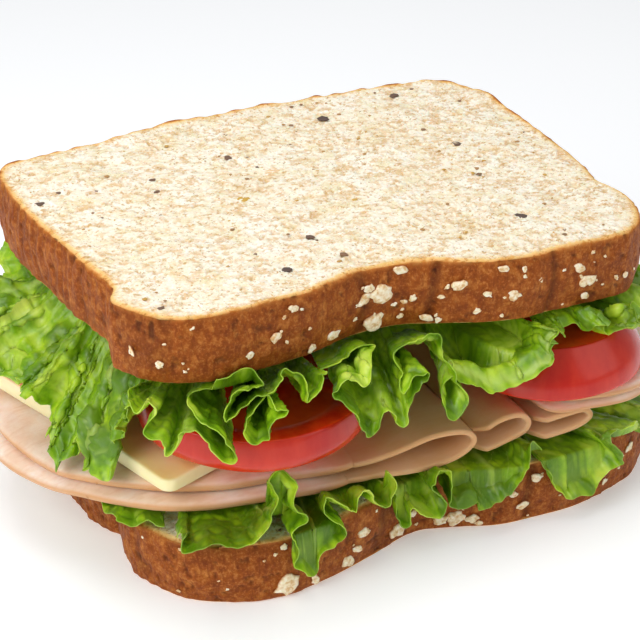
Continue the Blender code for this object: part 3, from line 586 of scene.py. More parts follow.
def cookedTurkey():
    # Cooked, pressed turkey breast: moist pink-beige flesh with faint fibres and a tan roasted edge
    made, tree = newMaterial("Sliced turkey breast", Roughness=0.42, IOR=1.42, Subsurface_Weight=0.25,
                             Subsurface_Scale=0.003, Subsurface_Radius=(1.0, 0.5, 0.3))
    place, along = inMillimetres(tree), inMillimetres(tree, (0.2, 1, 1))
    flesh = addNode(tree, "ValToRGB", Fac=(place, 0.1, 4, 0.6),
                    stops=[(0.35, "#ECCDB3"), (0.5, "#F4DCC8"), (0.65, "#FAEADE")])
    colour = laidOver(tree, flesh, [
        ((along, 0.8, 3, 0.6), [(0.5, 0.0), (0.75, 0.35)], "#D9A880"),  # fibres
        ("tan", [(0.0, 0.0), (1.0, 0.7)], "#DAA664"),
        ("roasted", [(0.25, 0.0), (0.9, 0.8)], "#CC9050"),
    ])
    return finished(made, colour, (place, 1.2, 4, 0.6), 0.25, 0.2)


def sheetWave(x, y):  # the layers share one low wave, so that they nest
    return turkey["wave"] * np.sin(x / 7.0) * np.cos(y / 9.0)


def roundedThickness(inset, thick):  # full inside, and a quarter circle off each corner at the edge
    share = np.clip(inset / turkey["edgeRound"], 0, 1)
    return thick - 1.6 * turkey["edgeRound"] * (1 - np.sqrt(share * (2 - share)))


def flatTurkey(name, finish, base, thick, outline):
    # A squared grid bent to the outline, with a low wave and an edge that hangs down past the bread
    steps = np.linspace(-1, 1, turkey["rows"])
    a, b = np.meshgrid(np.sign(steps) * abs(steps) ** 0.8, np.sign(steps) * abs(steps) ** 0.8)
    middle = through(outline, 360, True).mean(axis=0)
    size = np.maximum(abs(a), abs(b))
    turn = np.arctan2(b, a)
    edgeX, edgeY = edgeAt(outline, turn, middle)
    reach = np.hypot(edgeX, edgeY)
    inset = (1 - size) * reach
    uneven = 1 + 0.012 * smoothNoise(3 * np.cos(turn) + base, 3 * np.sin(turn), 0, 60) * size
    x, y = middle[0] + size * edgeX * uneven, middle[1] + size * edgeY * uneven
    outside = np.clip(beyond(lowerOutline, x, y) - 1, 0, 22)
    merge = smoothStep(x, -26, -15) * (x < 0)  # a left sheet thins to the leg of the fold that goes on from it
    rim = np.exp(-inset / 2.2)
    z = base + thick / 2 + sheetWave(x, y) - turkey["droop"] * (outside / 20) ** 1.5 - 0.7 * rim * (1 - merge)
    z = z + merge * (-0.2 if name == "turkey_lower" else 0.1)
    z = z + 0.3 * smoothNoise(x / 10, y / 10, 0, 61) * smoothStep(inset, 14, 0) * smoothStep(outside, 0, 5)
    runOut = smoothStep(x, -15.5, -12.5) * (x < 0)  # and at last runs out inside it
    depth = (thick - 1.2 * merge) * (1 - 0.3 * rim) * (1 - 0.9 * runOut)
    piece = addSheet("sheet_" + name, np.stack([x, y, z], -1), roundedThickness(inset, depth), finish,
                     {"roasted": np.exp(-inset / 0.6), "tan": 0.12 + 0.88 * merge})
    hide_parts(name)


def foldedTurkey(name, finish, front, back, gape, tuck, section):
    # The section line carried from front to back, swaying a little. Its front edge is cut unevenly, and
    # there the two legs part by a sine of the way in from the bend, less and less towards the back.
    columns = turkey["rows"]
    line = through(section, columns)
    share = np.linspace(0, 1, turkey["rows"])[:, None] ** 1.4
    edge = front + 0.7 * np.sin(np.linspace(0, 7, columns))[None, :]
    edge = edge + tuck * smoothStep(line[:, 0], line[:, 0].min() + 4.5, line[:, 0].min())[None, :]
    y = edge + (back - edge) * share
    x = line[:, 0] + 0.35 * np.sin(y / 8.0)
    z = line[:, 1] + 0.12 * smoothNoise(x / 6, y / 9, line[:, 1] / 3, 62)
    bend = np.argmax(line[:, 0])
    away = (line[bend, 1] - line[:, 1]) / np.ptp(line[:, 1])
    parted = np.sin(math.pi * np.clip((line[bend, 0] - line[:, 0]) / 24, 0, 1)) * -away * 2
    z = z + gape * parted * np.where(away > 0, 0.6, 1.0) * np.exp(-(y - edge) / 7)
    fromEnd = 0.4 + 0.6 * np.minimum(np.arange(columns), np.arange(columns)[::-1])
    inset = np.minimum(np.minimum(y - edge, back - y), fromEnd)
    piece = addSheet("sheet_" + name, np.stack([x, y, z], -1), roundedThickness(inset, turkey["foldThick"]),
                     finish, {"roasted": 0.7 * np.exp(-inset / 0.5), "tan": 1.0})
    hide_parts(name)


turkeyFinish = cookedTurkey()
for name, sheet in turkey["flat"].items():
    flatTurkey(name, turkeyFinish, **sheet)
for name, sheet in turkey["folded"].items():
    foldedTurkey(name, turkeyFinish, **sheet)
print("turkey done")


# Cheese: a square slice, its left corner bare

cheese = {
    "corner": (-56.2, -38.7), "turn": math.radians(20), "side": 66.0, "thick": 4.2, "base": 27.4, "cornerRound": 2.6,
    "rise": 1.9, "sag": 1.2, "thinning": 0.28, "freeReach": 16, "rows": 130,
}


def paleCheese():
    # Semi-hard cow's milk cheese: smooth, satin and a little see-through, pale yellow, paler towards its cut edges
    made, tree = newMaterial("Semi-hard cheese", Roughness=0.38, IOR=1.45, Subsurface_Weight=0.35,
                             Subsurface_Scale=0.004, Subsurface_Radius=(1.0, 0.8, 0.35))
    place = inMillimetres(tree)
    colour = laidOver(tree, "#EFD98C", [
        ((place, 0.08, 3, 0.6), [(0.35, 0.0), (0.65, 1.0)], "#F8E9AE"),
        ("dried", [(0.3, 0.0), (1.0, 0.5)], "#FFF3C9"),
    ])
    return finished(made, colour, (place, 0.9, 3, 0.6), 0.12, 0.15)


def cheeseSlice(finish):
    # A flat square, turned about its corner, raised over the fold and sagging at the free corner
    steps = np.linspace(0, 1, cheese["rows"])
    steps = steps - 0.12 * np.sin(2 * math.pi * steps)  # closer together at the edges
    u, v = np.meshgrid(steps, steps)
    side, turn, bend = cheese["side"], cheese["turn"], cheese["cornerRound"] / cheese["side"]
    inset = side * np.minimum(np.minimum(u, 1 - u), np.minimum(v, 1 - v))
    a, b = [np.sign(w - 0.5) * np.maximum(abs(w - 0.5) - 0.5 + bend, 0) for w in (u, v)]
    shrink = 1 - np.maximum(abs(a), abs(b)) / np.maximum(np.hypot(a, b), 1e-9)
    u, v = u - a * shrink, v - b * shrink  # each corner square is drawn in to a quarter disc
    x = cheese["corner"][0] + side * (u * math.cos(turn) - v * math.sin(turn))
    y = cheese["corner"][1] + side * (u * math.sin(turn) + v * math.cos(turn))
    rise = cheese["rise"] * smoothStep(x, -42, -18)
    free = np.exp(-((u * side) ** 2 + (v * side) ** 2) / cheese["freeReach"] ** 2)  # it thins and sags to this corner
    z = cheese["base"] + cheese["thick"] / 2 + rise - cheese["sag"] * free + 0.08 * smoothNoise(x / 8, y / 8, 0, 70)
    share = np.clip(inset / 0.7, 0, 1)
    thickness = cheese["thick"] * (0.78 + 0.22 * np.sqrt(share * (2 - share))) * (1 - cheese["thinning"] * free)
    piece = addSheet("cheeseSlice", np.stack([x, y, z], -1), thickness, finish,
                     {"dried": np.exp(-inset / 0.8)})
    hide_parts("cheese")


cheeseSlice(paleCheese())


# Tomato: a turned section, with skin round it and flesh on its cut faces

tomatoes = {  # the radius is that of the upper and of the lower rim
    "tomato_front_left": {"middle": (-31.5, -26), "upperRadius": 24.6, "lowerRadius": 24.4, "base": 34.1, "top": 41.8},
    "tomato_front_right": {"middle": (40, -26.5), "upperRadius": 17.6, "lowerRadius": 22.3, "base": 32.9, "top": 44},
    "tomato_back_left": {"middle": (-53, 20), "upperRadius": 24.5, "lowerRadius": 24.8, "base": 33, "top": 40.6},
    "tomato_back_right": {"middle": (27, 27.5), "upperRadius": 24.5, "lowerRadius": 24.2, "base": 34.1, "top": 41.8},
}


def ripeTomato():
    # Ripe tomato: tight glossy skin at the side, wet flesh on the cut, more orange in the seed chambers
    made, tree = newMaterial("Ripe tomato", Roughness=0.22, IOR=1.4, Coat_Weight=0.15, Coat_Roughness=0.08,
                             Subsurface_Weight=0.25, Subsurface_Scale=0.003, Subsurface_Radius=(1.0, 0.25, 0.15))
    place, upright = inMillimetres(tree), inMillimetres(tree, (1, 1, 0.3))
    skin = laidOver(tree, "#BE1E0E", [((upright, 0.12, 4, 0.6), [(0.35, 0.0), (0.65, 1.0)], "#D2361E")])
    colour = laidOver(tree, "#E2200A", [
        ((place, 0.18, 4, 0.6), [(0.35, 0.0), (0.6, 1.0)], "#F64216"),
        ("chamber", [(0.0, 0.0), (1.0, 0.4)], "#E66024"),
        ("skin", [(0.0, 0.0), (1.0, 1.0)], skin),
    ])
    return finished(made, colour, (place, 0.7, 4, 0.6), 0.2, 0.25)


def tomatoSlice(name, finish, seed, middle, upperRadius, lowerRadius, base, top):
    # The section runs in along the top, round the rim, down the bulging skin and in along the underside
    bulge = 0.35 * upperRadius + 0.65 * lowerRadius + 0.9
    section = through([(upperRadius - 0.9, top), (upperRadius, top - 0.45), (bulge, 0.6 * base + 0.4 * top),
                       (lowerRadius, base + 0.45), (lowerRadius - 0.9, base)], 40)
    inward = np.linspace(0.02, 0.985, 26)
    radius = np.concatenate([inward * (upperRadius - 0.9), section[:, 0], inward[::-1] * (lowerRadius - 0.9)])[:, None]
    height = np.concatenate([top + 0 * inward, section[:, 1], base + 0 * inward])[:, None]
    turn = np.linspace(0, 2 * math.pi, 240, endpoint=False)[None, :]
    lobes = 1 + 0.008 * np.sin(5 * turn + seed)
    lobes = lobes + 0.006 * smoothNoise(3 * np.cos(turn), 3 * np.sin(turn), height / 5, seed)
    share = radius / max(upperRadius, lowerRadius)
    wall = abs(np.sin(2.5 * turn + seed + 0.3 * np.sin(turn * 3)))
    chamber = smoothStep(wall, 0.3, 0.5) * smoothStep(share, 0.3, 0.42) * smoothStep(share, 0.86, 0.76)
    onTop = smoothStep(height, top - 0.3, top) - smoothStep(height, base + 0.3, base)
    points = np.stack([middle[0] + radius * lobes * np.cos(turn), middle[1] + radius * lobes * np.sin(turn),
                       height - 0.5 * chamber * onTop + 0 * turn], -1)
    rings, columns = points.shape[:2]
    count = rings * columns
    at = np.arange(count).reshape(rings, columns)
    centres = np.array([[*middle, top], [*middle, base]], float)
    caps = np.concatenate([capFaces(at[0], count), capFaces(at[-1], count + 1)[:, ::-1]])
    cut = abs(onTop) + 0 * turn
    marks = {"skin": np.concatenate([(1 - cut).ravel(), [0, 0]]),
             "chamber": np.concatenate([(chamber * cut).ravel(), [0, 0]])}
    points = np.concatenate([points.reshape(-1, 3), centres])
    piece = addPiece("slice_" + name, points, ringFaces(at), finish, marks, caps)
    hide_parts(name)


tomatoFinish = ripeTomato()
for number, (name, tomato) in enumerate(tomatoes.items()):
    tomatoSlice(name, tomatoFinish, 80 + number, **tomato)
print("cheese and tomato done")


# Lettuce: each leaf runs from a line inside the sandwich out to its curly margin

lettuce = {
    "thick": 0.6, "marginThick": 0.22, "rows": 72, "columnStep": 0.45,
    "lowLevel": 17.7, "highLevel": 48.5, "liftPower": 3.0, "curlPower": 2.5, "smoothedShare": 0.26,
    "frillLength": 3.3, "rumpleLength": 6.5, "creaseLength": 2.9, "crinkleLength": 4, "pleatLength": 2.3,
    "pleat": 0.5, "crinkle": 0.55, "blisterCell": 3.0, "ribHalf": 1.5, "ribHeight": 0.5, "veinSpacing": 5.0,
    "clearance": 1.05, "slope": 6.0,  # clearance from the pieces above and below, and how steeply it ends past them
}
# Each leaf: inner is the line it starts from inside the sandwich, folds its low folds as (count, height), then
# the heights of its rumples, of the frills on its margin and of the blisters in its blade. Ribs are placed along
# the leaf from 0 to 1, and a long rib has its place and slant. Bends run from one share of the leaf's length to
# another, and then have their place and half width on the way out, and their lift.
upperLeaves = {
    "front_left": {
        "inner": [(-38, -8), (-20, -6)], "folds": (3, 1.5), "rumple": 0.6, "frill": 0.75, "blister": 0.35,
        "ribs": [0.2, 0.55, 0.85],
        "margin": [
            (-63, -40, 56.5), (-66, -46, 56.5), (-65, -50, 55.7), (-62.5, -48, 56.5), (-61.5, -50, 55),
            (-65, -52, 52.5), (-63, -54, 50.5), (-61, -54.5, 47), (-58, -54, 50.5), (-54, -54.5, 50.5),
            (-51, -56, 43), (-47, -56, 43), (-50, -56, 49), (-52, -55.5, 52.5), (-53.5, -54.5, 53), (-55, -50, 55),
            (-51, -48, 57), (-45, -50, 59), (-41, -49, 59), (-39, -51, 56.5), (-43, -53, 57.5), (-47, -53.5, 58),
            (-49.5, -55.5, 51.5), (-45, -54, 54), (-40.5, -53, 55.5), (-39, -55, 53), (-36, -56.5, 52),
            (-40.5, -56.5, 50), (-41.5, -57, 47), (-45, -57, 47), (-45.5, -56, 49.5), (-40, -53, 54),
            (-36, -52, 57), (-34.5, -50, 58.5), (-33, -51, 58.5), (-31, -53, 55), (-32, -55.5, 52.5),
            (-30, -54, 53.5), (-27, -52, 55), (-25, -50, 55)]},
    "front_right": {
        "inner": [(-17, -6), (22, -6)], "folds": (3, 1.5), "rumple": 0.8, "frill": 0.75, "blister": 0.35,
        "ribs": [0.3, 0.6], "longRib": (0.99, 3.2),
        "bends": [(0.74, 0.99, 0.9, 0.06, 2.0), (0.72, 0.99, 0.64, 0.15, -7.0)],
        "margin": [
            (-24, -47, 54), (-21, -47, 54.5), (-16, -44.5, 55.5), (-12, -44, 55.5), (-15, -50, 54),
            (-17, -53, 51.5), (-20, -52, 53), (-25, -53.5, 52), (-23, -54, 49), (-20, -54, 46), (-17.5, -54, 41),
            (-15, -53.5, 40.5), (-13, -52, 44), (-11, -52, 43.5), (-9, -52, 38.5), (-7.5, -51.5, 41),
            (-4, -50, 45.5), (-1, -49, 48), (-3, -50, 49), (-5, -50, 49.5), (-8, -51, 46.5), (-7, -48, 50.5),
            (-8, -46, 53), (-3, -44.5, 54.5), (3, -44, 54.5), (4, -46, 51), (5, -48, 47.5), (8, -50, 41.5),
            (7, -51, 39.5), (4, -51, 38), (2.5, -50.5, 40.5), (2, -50, 43), (4, -48, 45), (9, -48, 43),
            (15, -49, 40), (20, -50, 41), (24, -50.5, 43), (27.5, -50, 45.5), (27, -49.5, 47.5), (29, -50, 49),
            (27.5, -49.5, 50), (29.5, -49.5, 51.5), (26.5, -47, 52.5)]},
    "right": {
        "inner": [(28, -10), (30, 12)], "folds": (4, 6), "rumple": 1.2, "frill": 2.0, "blister": 0.45,
        "ribs": [0.15, 0.5, 0.8],
        "margin": [
            (31, -44, 50), (34, -47, 48), (35.5, -46, 50.5), (37, -46.5, 51), (39, -48.5, 48.5), (42, -48, 50.5),
            (43, -47, 47.5), (45.5, -48.5, 46.5), (48, -47.5, 49.5), (50, -46, 52), (51, -48.5, 48),
            (54, -47.5, 50), (55, -46, 46), (59, -41, 50), (63, -36, 44), (65, -28, 50), (69, -22, 43),
            (65, -14, 51), (69, -6, 43), (64, 2, 51), (68, 9, 43), (62, 16, 51), (66, 24, 44), (60, 31, 51),
            (62, 38, 45)]},
    "left": {
        "inner": [(-36, 14), (-40, -8)], "folds": (4, 2.5), "rumple": 1.5, "frill": 2.3, "blister": 0.6,
        "ribs": [0.2, 0.5, 0.8],
        "bends": [(0.02, 0.99, 0.42, 0.24, 9.0)],
        "margin": [
            (-64, 39, 54), (-71, 36, 51), (-70, 29, 48), (-78, 25, 50), (-77, 18, 45), (-81, 11, 44), (-78, 4, 40),
            (-76, -3, 37), (-78, -8, 40), (-72, -11, 37), (-74, -15, 32), (-76, -19, 29), (-73, -22, 28.5),
            (-72, -25, 33), (-70, -28, 28.5), (-67, -31, 31), (-65.5, -33, 37), (-64, -35, 44), (-62.5, -37, 50)]},
}
lowerLeaves = {
    "front_left": {
        "inner": [(-42, -8), (-11, -6)], "folds": (3, 0.6), "rumple": 0.6, "frill": 0.7, "blister": 0.35,
        "ribs": [0.25, 0.6],
        "margin": [
            (-56, -40, 17.5), (-54, -44, 21), (-56, -46.5, 20), (-55.5, -47.5, 17.2), (-51, -48.6, 19.4),
            (-48, -49.2, 18.8), (-44, -49.8, 17.6), (-41, -50, 18.4), (-38, -50, 21.5), (-35, -49, 26),
            (-37, -48, 30.5), (-35, -47.5, 32), (-33, -49, 30.5), (-31.5, -50.5, 29), (-33, -51, 25.5),
            (-30, -52, 22), (-33, -51, 18.5), (-32, -52, 13.5), (-33, -52, 10.5), (-31, -52, 7.5), (-27, -51, 6.5),
            (-26, -50.5, 10), (-23, -50, 12), (-19.5, -49, 13), (-22, -49.5, 17), (-25, -50, 20.5),
            (-25.5, -51, 24.5), (-23, -52, 24.5), (-21, -52, 22), (-19, -51, 20.5), (-18.5, -50, 24),
            (-15, -50, 24), (-13, -50.5, 20), (-11, -50, 18.5), (-8, -48, 21.5), (-9, -46.5, 25)]},
    "front_right": {
        "inner": [(-8, -6), (24, -8)], "folds": (3, 0.6), "rumple": 0.7, "frill": 0.7, "blister": 0.35,
        "ribs": [0.3, 0.8],
        "margin": [
            (-6, -43, 18), (-5, -44.5, 9), (-3, -44, 7.5), (-2, -45.5, 12.5), (1.5, -45.5, 10), (5, -46, 9),
            (5.5, -47, 12), (4, -47.5, 16), (1, -48, 18.5), (2, -47.5, 22.5), (5.5, -47, 22.5), (7, -46.5, 19),
            (6.5, -46, 11.5), (10, -46, 9.5), (13, -46, 10), (14, -46.5, 8.5), (18, -47.5, 10), (23, -47, 13),
            (26.5, -46, 17.5), (28, -45, 22), (30, -44.5, 20)]},
    "right": {
        "inner": [(28, -10), (30, 2)], "folds": (3, 0.6), "rumple": 0.8, "frill": 0.9, "blister": 0.35,
        "ribs": [0.22, 0.6],
        "margin": [
            (31, -45.5, 16), (33, -47, 11), (36.5, -48, 6.5), (41, -48, 6), (45, -47.5, 9), (49, -47.5, 12),
            (47.5, -48, 17), (46, -48, 21), (49, -47.5, 22), (53, -47, 22.5), (56, -44, 20), (60, -41, 14),
            (66, -36, 18), (70, -29, 12), (72, -21, 17), (70, -13, 11), (70, -5, 17), (68, 3, 12), (69, 11, 17),
            (67, 19, 12), (68, 27, 16), (64, 34, 16)]},
    "left": {
        "inner": [(-45, -6), (-42, 8)], "folds": (3, 0.6), "rumple": 0.4, "frill": 0.8, "blister": 0.3,
        "ribs": [0.5],
        "margin": [
            (-56, -34, 17.8), (-58, -37, 17.2), (-60, -35, 18.6), (-63, -33, 17.4), (-66, -30, 18.8),
            (-66, -23, 17.2), (-68, -15, 18.6), (-67, -5, 17), (-69, 4, 18.4), (-68, 14, 16.6), (-70, 22, 18),
            (-67, 30, 16.8), (-66, 37, 17.6)]},
}


def ruffledMargin(start, end, waves, reach, drop, height):  # even ruffles on a line that bows outwards
    along = np.arange(4 * waves + 1) / (4 * waves)
    wave = np.sin(2 * math.pi * waves * along)
    x = start[0] + (end[0] - start[0]) * along + 1.2 * np.cos(4 * math.pi * waves * along)
    y = start[1] + (end[1] - start[1]) * along + 2.5 * np.sin(math.pi * along) + reach * wave
    return np.stack([x, y, height - drop * wave + 1.5 * np.sin(9 * along)], -1)


upperLeaves["back"] = {
    "inner": [(24, 8), (-32, 8)], "folds": (5, 6), "rumple": 1.2, "frill": 1.6, "blister": 0.45,
    "ribs": [0.25, 0.7], "bends": [(0.02, 0.99, 0.45, 0.24, 4.0)],
    "margin": ruffledMargin((54, 50), (-58, 46), waves=7, reach=2.2, drop=4.8, height=51.5),
}
lowerLeaves["back"] = {
    "inner": [(24, 8), (-36, 8)], "folds": (3, 0.6), "rumple": 0.5, "frill": 1.0, "blister": 0.3,
    "ribs": [0.3, 0.7],
    "margin": ruffledMargin((58, 47), (-58, 45), waves=6, reach=2.0, drop=2.5, height=17),
}


def pastTomato(x, y, tomato):  # distance outside the tomato's wider rim
    fromMiddle = np.hypot(x - tomato["middle"][0], y - tomato["middle"][1])
    return fromMiddle - max(tomato["upperRadius"], tomato["lowerRadius"])


def beyondCheese(x, y):  # distance outside the square, along or across it
    dx, dy = x - cheese["corner"][0], y - cheese["corner"][1]
    along = dx * math.cos(cheese["turn"]) + dy * math.sin(cheese["turn"])
    across = dy * math.cos(cheese["turn"]) - dx * math.sin(cheese["turn"])
    half = cheese["side"] / 2
    return np.maximum(abs(along - half), abs(across - half)) - half


def lowerRoom(x, y):  # between the lower slice and the turkey, and free past the edge of each
    flat, steep = turkey["flat"], lettuce["slope"]
    folds = np.maximum(-43 - y, np.maximum(y - 47, x - 45))
    pastFilling = np.minimum.reduce([beyond(flat["turkey_lower"]["outline"], x, y), folds,
                                     beyond(flat["turkey_topmost"]["outline"], x, y)])
    low = bread["thick"] + 0.85 - steep * np.maximum(0, beyond(lowerOutline, x, y) - 1.9)
    high = flat["turkey_lower"]["base"] - 1.15 + steep * np.maximum(0, pastFilling - 0.9)
    return np.maximum(low, 0.8), high


def upperRoom(x, y):  # above the tomato and cheese, under the upper slice, and free past the edge of each
    sheets = turkey["flat"]
    turkeyTop = sheets["turkey_upper"]["base"] + sheets["turkey_upper"]["thick"]
    turkeyTop = turkeyTop - 4 * np.maximum(0, beyond(sheets["turkey_lower"]["outline"], x, y) - 0.5)
    low = np.maximum(34.5 - 5 * np.maximum(0, beyondCheese(x, y) - 0.9), turkeyTop + 1)
    for tomato in tomatoes.values():
        aside = np.maximum(0, pastTomato(x, y, tomato) - 1.7)
        low = np.maximum(low, tomato["top"] + lettuce["clearance"] - lettuce["slope"] * aside)
    outside = np.maximum(0, beyond(upperOutline, x, y) - 1.7)
    return low, upperUnderside(x, y) - lettuce["clearance"] + 5 * outside


def curlyLettuce():
    # Green leaf lettuce: thin, crisp, waxy blade that lets light through, paler ribs and a pale margin
    made, tree = newMaterial("Curly leaf lettuce", Roughness=0.36, IOR=1.45, Subsurface_Weight=0.3,
                             Subsurface_Scale=0.0015, Subsurface_Radius=(0.8, 1.0, 0.15))
    place = inMillimetres(tree)
    blade = addNode(tree, "ValToRGB", Fac=(place, 0.14, 4, 0.6),
                    stops=[(0.34, "#5E8C08"), (0.5, "#8CB612"), (0.66, "#B4D22C")])
    colour = laidOver(tree, blade, [
        ("swell", [(0.25, 0.8), (0.5, 0.0)], "#4A7206"),  # painted shade in the hollows
        ("swell", [(0.52, 0.0), (0.85, 0.75)], "#D4E862"),  # painted highlight on the blisters and rumple crests
        ("vein", [(0.2, 0.0), (1.0, 0.6)], "#C2DA6A"),
        ("margin", [(0.45, 0.0), (1.0, 0.3)], "#B2D250"),
    ])
    height = addNode(tree, "Mix", [(0, 0.5), (6, "vein"), (7, (place, 0.9, 4, 0.6))], take=2, data_type="RGBA")
    return finished(made, colour, height, 0.35, 0.3)


def leafSurface(leaf, level, room, seed):
    # Between the inner line and the smoothed margin the blade runs straight out and lifts late; the
    # curls, which are the margin less its smoothed course, grow with the way out. Then come low folds,
    # rumples, frills along the margin and blisters between veins, all kept inside the room it has.
    columns, rows = int(lengthOf(leaf["margin"]) / lettuce["columnStep"]), lettuce["rows"]
    start, curly = through(leaf["inner"], columns), through(leaf["margin"], columns)
    window = int(columns * lettuce["smoothedShare"]) | 1
    kernel = np.hanning(window + 2)[1:-1]
    padded = np.vstack([np.repeat(curly[:1], window // 2, 0), curly, np.repeat(curly[-1:], window // 2, 0)])
    plain = np.column_stack([np.convolve(c, kernel / kernel.sum(), "valid") for c in padded.T])
    arc = np.arange(columns) * lettuce["columnStep"]
    for axis in range(3):  # the margin wanders every way, in long and in short waves
        curly[:, axis] += leaf["frill"] * smoothNoise(arc / lettuce["frillLength"], 3.0 * axis, 0, seed + 1)
        curly[:, axis] += 0.4 * leaf["frill"] * smoothNoise(arc / lettuce["frillLength"] * 2.6, 3.0 * axis, 0, seed + 2)
    share = np.linspace(0, 1, rows)[:, None]
    out = 1 - (1 - share) ** 1.7  # rows lie closer together towards the margin
    flat = np.column_stack([start, np.full(columns, level)])
    way = np.stack([out + 0 * arc, out + 0 * arc, out**lettuce["liftPower"] + 0 * arc], -1)
    surface = flat + (plain - flat) * way + (curly - plain) * (out**lettuce["curlPower"])[..., None]
    u = np.linspace(0, 1, columns)[None, :]
    count, height = leaf["folds"]
    surface[..., 2] += height * 4 * out * (1 - out) * np.sin(2 * math.pi * count * u)
    for begins, ends, place, half, lift in leaf.get("bends", ()):
        within = smoothStep(u, begins, begins + 0.08) * smoothStep(u, ends, ends - 0.04)
        surface[..., 2] += lift * within * np.exp(-((out - place) / half) ** 2)
    depth = (1 - out) * np.linalg.norm(plain - flat, axis=1)[None, :]  # distance in from the margin
    free = smoothStep(out, 0.25, 0.8)
    p, q = surface[..., 0] + 0.6 * surface[..., 2], surface[..., 1] - 0.6 * surface[..., 2]
    long, short, crossed = [lettuce[key] for key in ("rumpleLength", "creaseLength", "crinkleLength")]
    rumples = smoothNoise(p / long, q / long, 0, seed + 3) + 0.45 * smoothNoise(p / short, q / short, 0, seed + 4)
    warpP, warpQ = [1.6 * smoothNoise(p / 5, q / 5, 9.3 * k, seed + 8) for k in (1, 2)]
    crinkle = abs(smoothNoise((p + q + warpP) / crossed, (q - p + warpQ) / crossed, depth / 3.5, seed + 9))
    swerve = 0.8 * smoothNoise(p / 4, q / 4, 0, seed + 6)
    pleats = smoothNoise(arc / lettuce["pleatLength"] + swerve, depth / 2.8, 0, seed + 7)
    rumples = rumples + lettuce["pleat"] * pleats * smoothStep(depth, 14, 2) + lettuce["crinkle"] * (crinkle - 0.4)
    surface += normalsOf(surface) * (leaf["rumple"] * free * rumples * smoothStep(depth, -1, 3))[..., None]
    cell = lettuce["blisterCell"]
    nearest, second = cellNoise(p / cell + 0.3 * smoothNoise(p / 2, q / 2, 0, seed), q / cell, seed + 5)
    puff = 1 - np.exp(-3.5 * (second - nearest))
    innerLength = lengthOf(leaf["inner"])
    spread = innerLength + (lengthOf(plain[::8]) - innerLength) * out  # length of each row
    rib = np.zeros_like(depth)
    if "longRib" in leaf:  # it runs beside the margin and keeps its width
        place, slant = leaf["longRib"]
        wander = 0.012 * np.sin(5 * out + 9 * place) - slant * (1 - out)
        aside = (u - place - wander) * spread / (1 + 2 * slant)
        rib = np.exp(-(aside / 0.8) ** 2) * smoothStep(depth, 0, 0.8) * smoothStep(u, 0.72, 0.8)
    for place in leaf["ribs"]:  # a rib narrows on its way out, and its side veins leave it at a slant
        aside = (u - place - 0.012 * np.sin(5 * out + 9 * place)) * spread
        wide = lettuce["ribHalf"] * (1 - 0.7 * out)
        fan = abs(np.sin(math.pi * (depth * 0.8 - abs(aside)) / lettuce["veinSpacing"]))
        branch = 0.5 * smoothStep(fan, 0.16, 0.02) * smoothStep(abs(aside), 11, 3) * smoothStep(depth, 1, 4)
        main = np.exp(-(aside / wide) ** 2) * (1 - 0.5 * out**3)
        rib = np.maximum(rib, np.maximum(main, branch) * smoothStep(depth, 0, 3))
    raised = leaf["blister"] * puff * smoothStep(depth, 0, 2) + lettuce["ribHeight"] * rib
    surface += normalsOf(surface) * raised[..., None]
    low, high = room(surface[..., 0], surface[..., 1])
    surface[..., 2] = softClamp(surface[..., 2], low, np.maximum(high, low + 0.2), 0.25)
    thickness = lettuce["marginThick"] + (lettuce["thick"] - lettuce["marginThick"]) * smoothStep(depth, 0, 4)
    vein = np.clip(0.35 * (1 - puff) ** 2 + rib, 0, 1)
    # painted shade and highlight: low where the blade rumples down or between blisters, high on raised parts
    swell = np.clip(0.5 + 0.3 * rumples * free + 0.25 * (puff - 0.7), 0, 1)
    marks = {"margin": np.exp(-depth / 0.3), "vein": vein, "swell": swell}
    return surface, thickness + lettuce["ribHeight"] * rib, marks


def addLeaves(layer, leaves, level, room, finish):
    for number, (side, leaf) in enumerate(leaves.items()):
        node = f"lettuce_{layer}_{side}"
        surface, thickness, marks = leafSurface(leaf, level, room, 100 + 13 * number)
        piece = addSheet("leaf_" + node, surface, thickness, finish, marks)
        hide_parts(node)


lettuceFinish = curlyLettuce()
addLeaves("upper", upperLeaves, lettuce["highLevel"], upperRoom, lettuceFinish)
addLeaves("lower", lowerLeaves, lettuce["lowLevel"], lowerRoom, lettuceFinish)
print("lettuce done")


# Stage: a white table, soft light from above and the camera

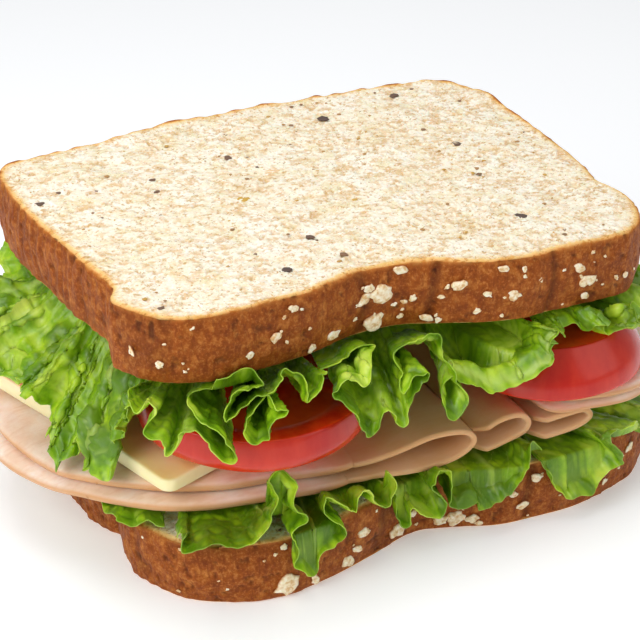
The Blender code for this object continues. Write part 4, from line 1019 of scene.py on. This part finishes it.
stage = {
    "azimuth": -24.0, "elevation": 28.5, "lens": 113.0, "distance": 467.2, "target": (-3, 3, 36),
    "world": 0.41, "boardGlow": 0.22, "boardHalf": 15.0,  # the board's half width is in metres
    "lights": [  # place, size, watts
        ((-70, 30, 640), 460, 1.7), ((-460, -230, 380), 360, 1.8), ((380, -420, 300), 400, 0.45),
    ],
}


def lookAt(thing, place, target):  # turns a lamp or camera so that it faces the target
    thing.location = place
    thing.rotation_euler = (Vector(place) - Vector(target)).to_track_quat("Z", "Y").to_euler()


def whiteTable():
    # Painted board: matt white with a hardly visible unevenness, and a faint glow that keeps it pale in shade
    made, tree = newMaterial("White painted board", Roughness=0.6, IOR=1.45, Emission_Color=(1, 1, 1, 1),
                             Emission_Strength=stage["boardGlow"])
    colour = laidOver(tree, "#F5F7FA", [((inMillimetres(tree), 0.004, 2, 0.6), [(0.3, 0.0), (0.7, 1.0)], "#F7F9FB")])
    tree.links.new(colour, tree.nodes["Principled BSDF"].inputs["Base Color"])
    mesh = bpy.data.meshes.new("table")
    half = stage["boardHalf"]
    mesh.from_pydata([(-half, -half, 0), (half, -half, 0), (half, half, 0), (-half, half, 0)], [], [(0, 1, 2, 3)])
    mesh.materials.append(made)
    table = addObject("table", mesh)
    table.location.z = -0.05 * millimetre


def lightAndCamera():
    target = Vector(stage["target"]) * millimetre
    for number, (place, size, watts) in enumerate(stage["lights"]):
        lamp = bpy.data.lights.new(f"softbox{number}", "AREA")
        lamp.size, lamp.energy = size * millimetre, watts
        lookAt(addObject(lamp.name, lamp), Vector(place) * millimetre, target)
    world = bpy.data.worlds.new("room")
    world.use_nodes = True
    world.node_tree.nodes["Background"].inputs["Color"].default_value = (1, 1, 1, 1)
    world.node_tree.nodes["Background"].inputs["Strength"].default_value = stage["world"]
    bpy.context.scene.world = world
    a, e = math.radians(stage["azimuth"]), math.radians(stage["elevation"])
    back = Vector((math.sin(a) * math.cos(e), -math.cos(a) * math.cos(e), math.sin(e)))
    lens = bpy.data.cameras.new("camera")
    lens.lens, lens.sensor_width, lens.clip_start = stage["lens"], 36.0, 0.01
    camera = addObject("camera", lens)
    lookAt(camera, target + back * stage["distance"] * millimetre, target)
    bpy.context.scene.camera = camera
    bpy.context.scene.view_settings.view_transform = "Standard"


whiteTable()
lightAndCamera()
print("stage done")
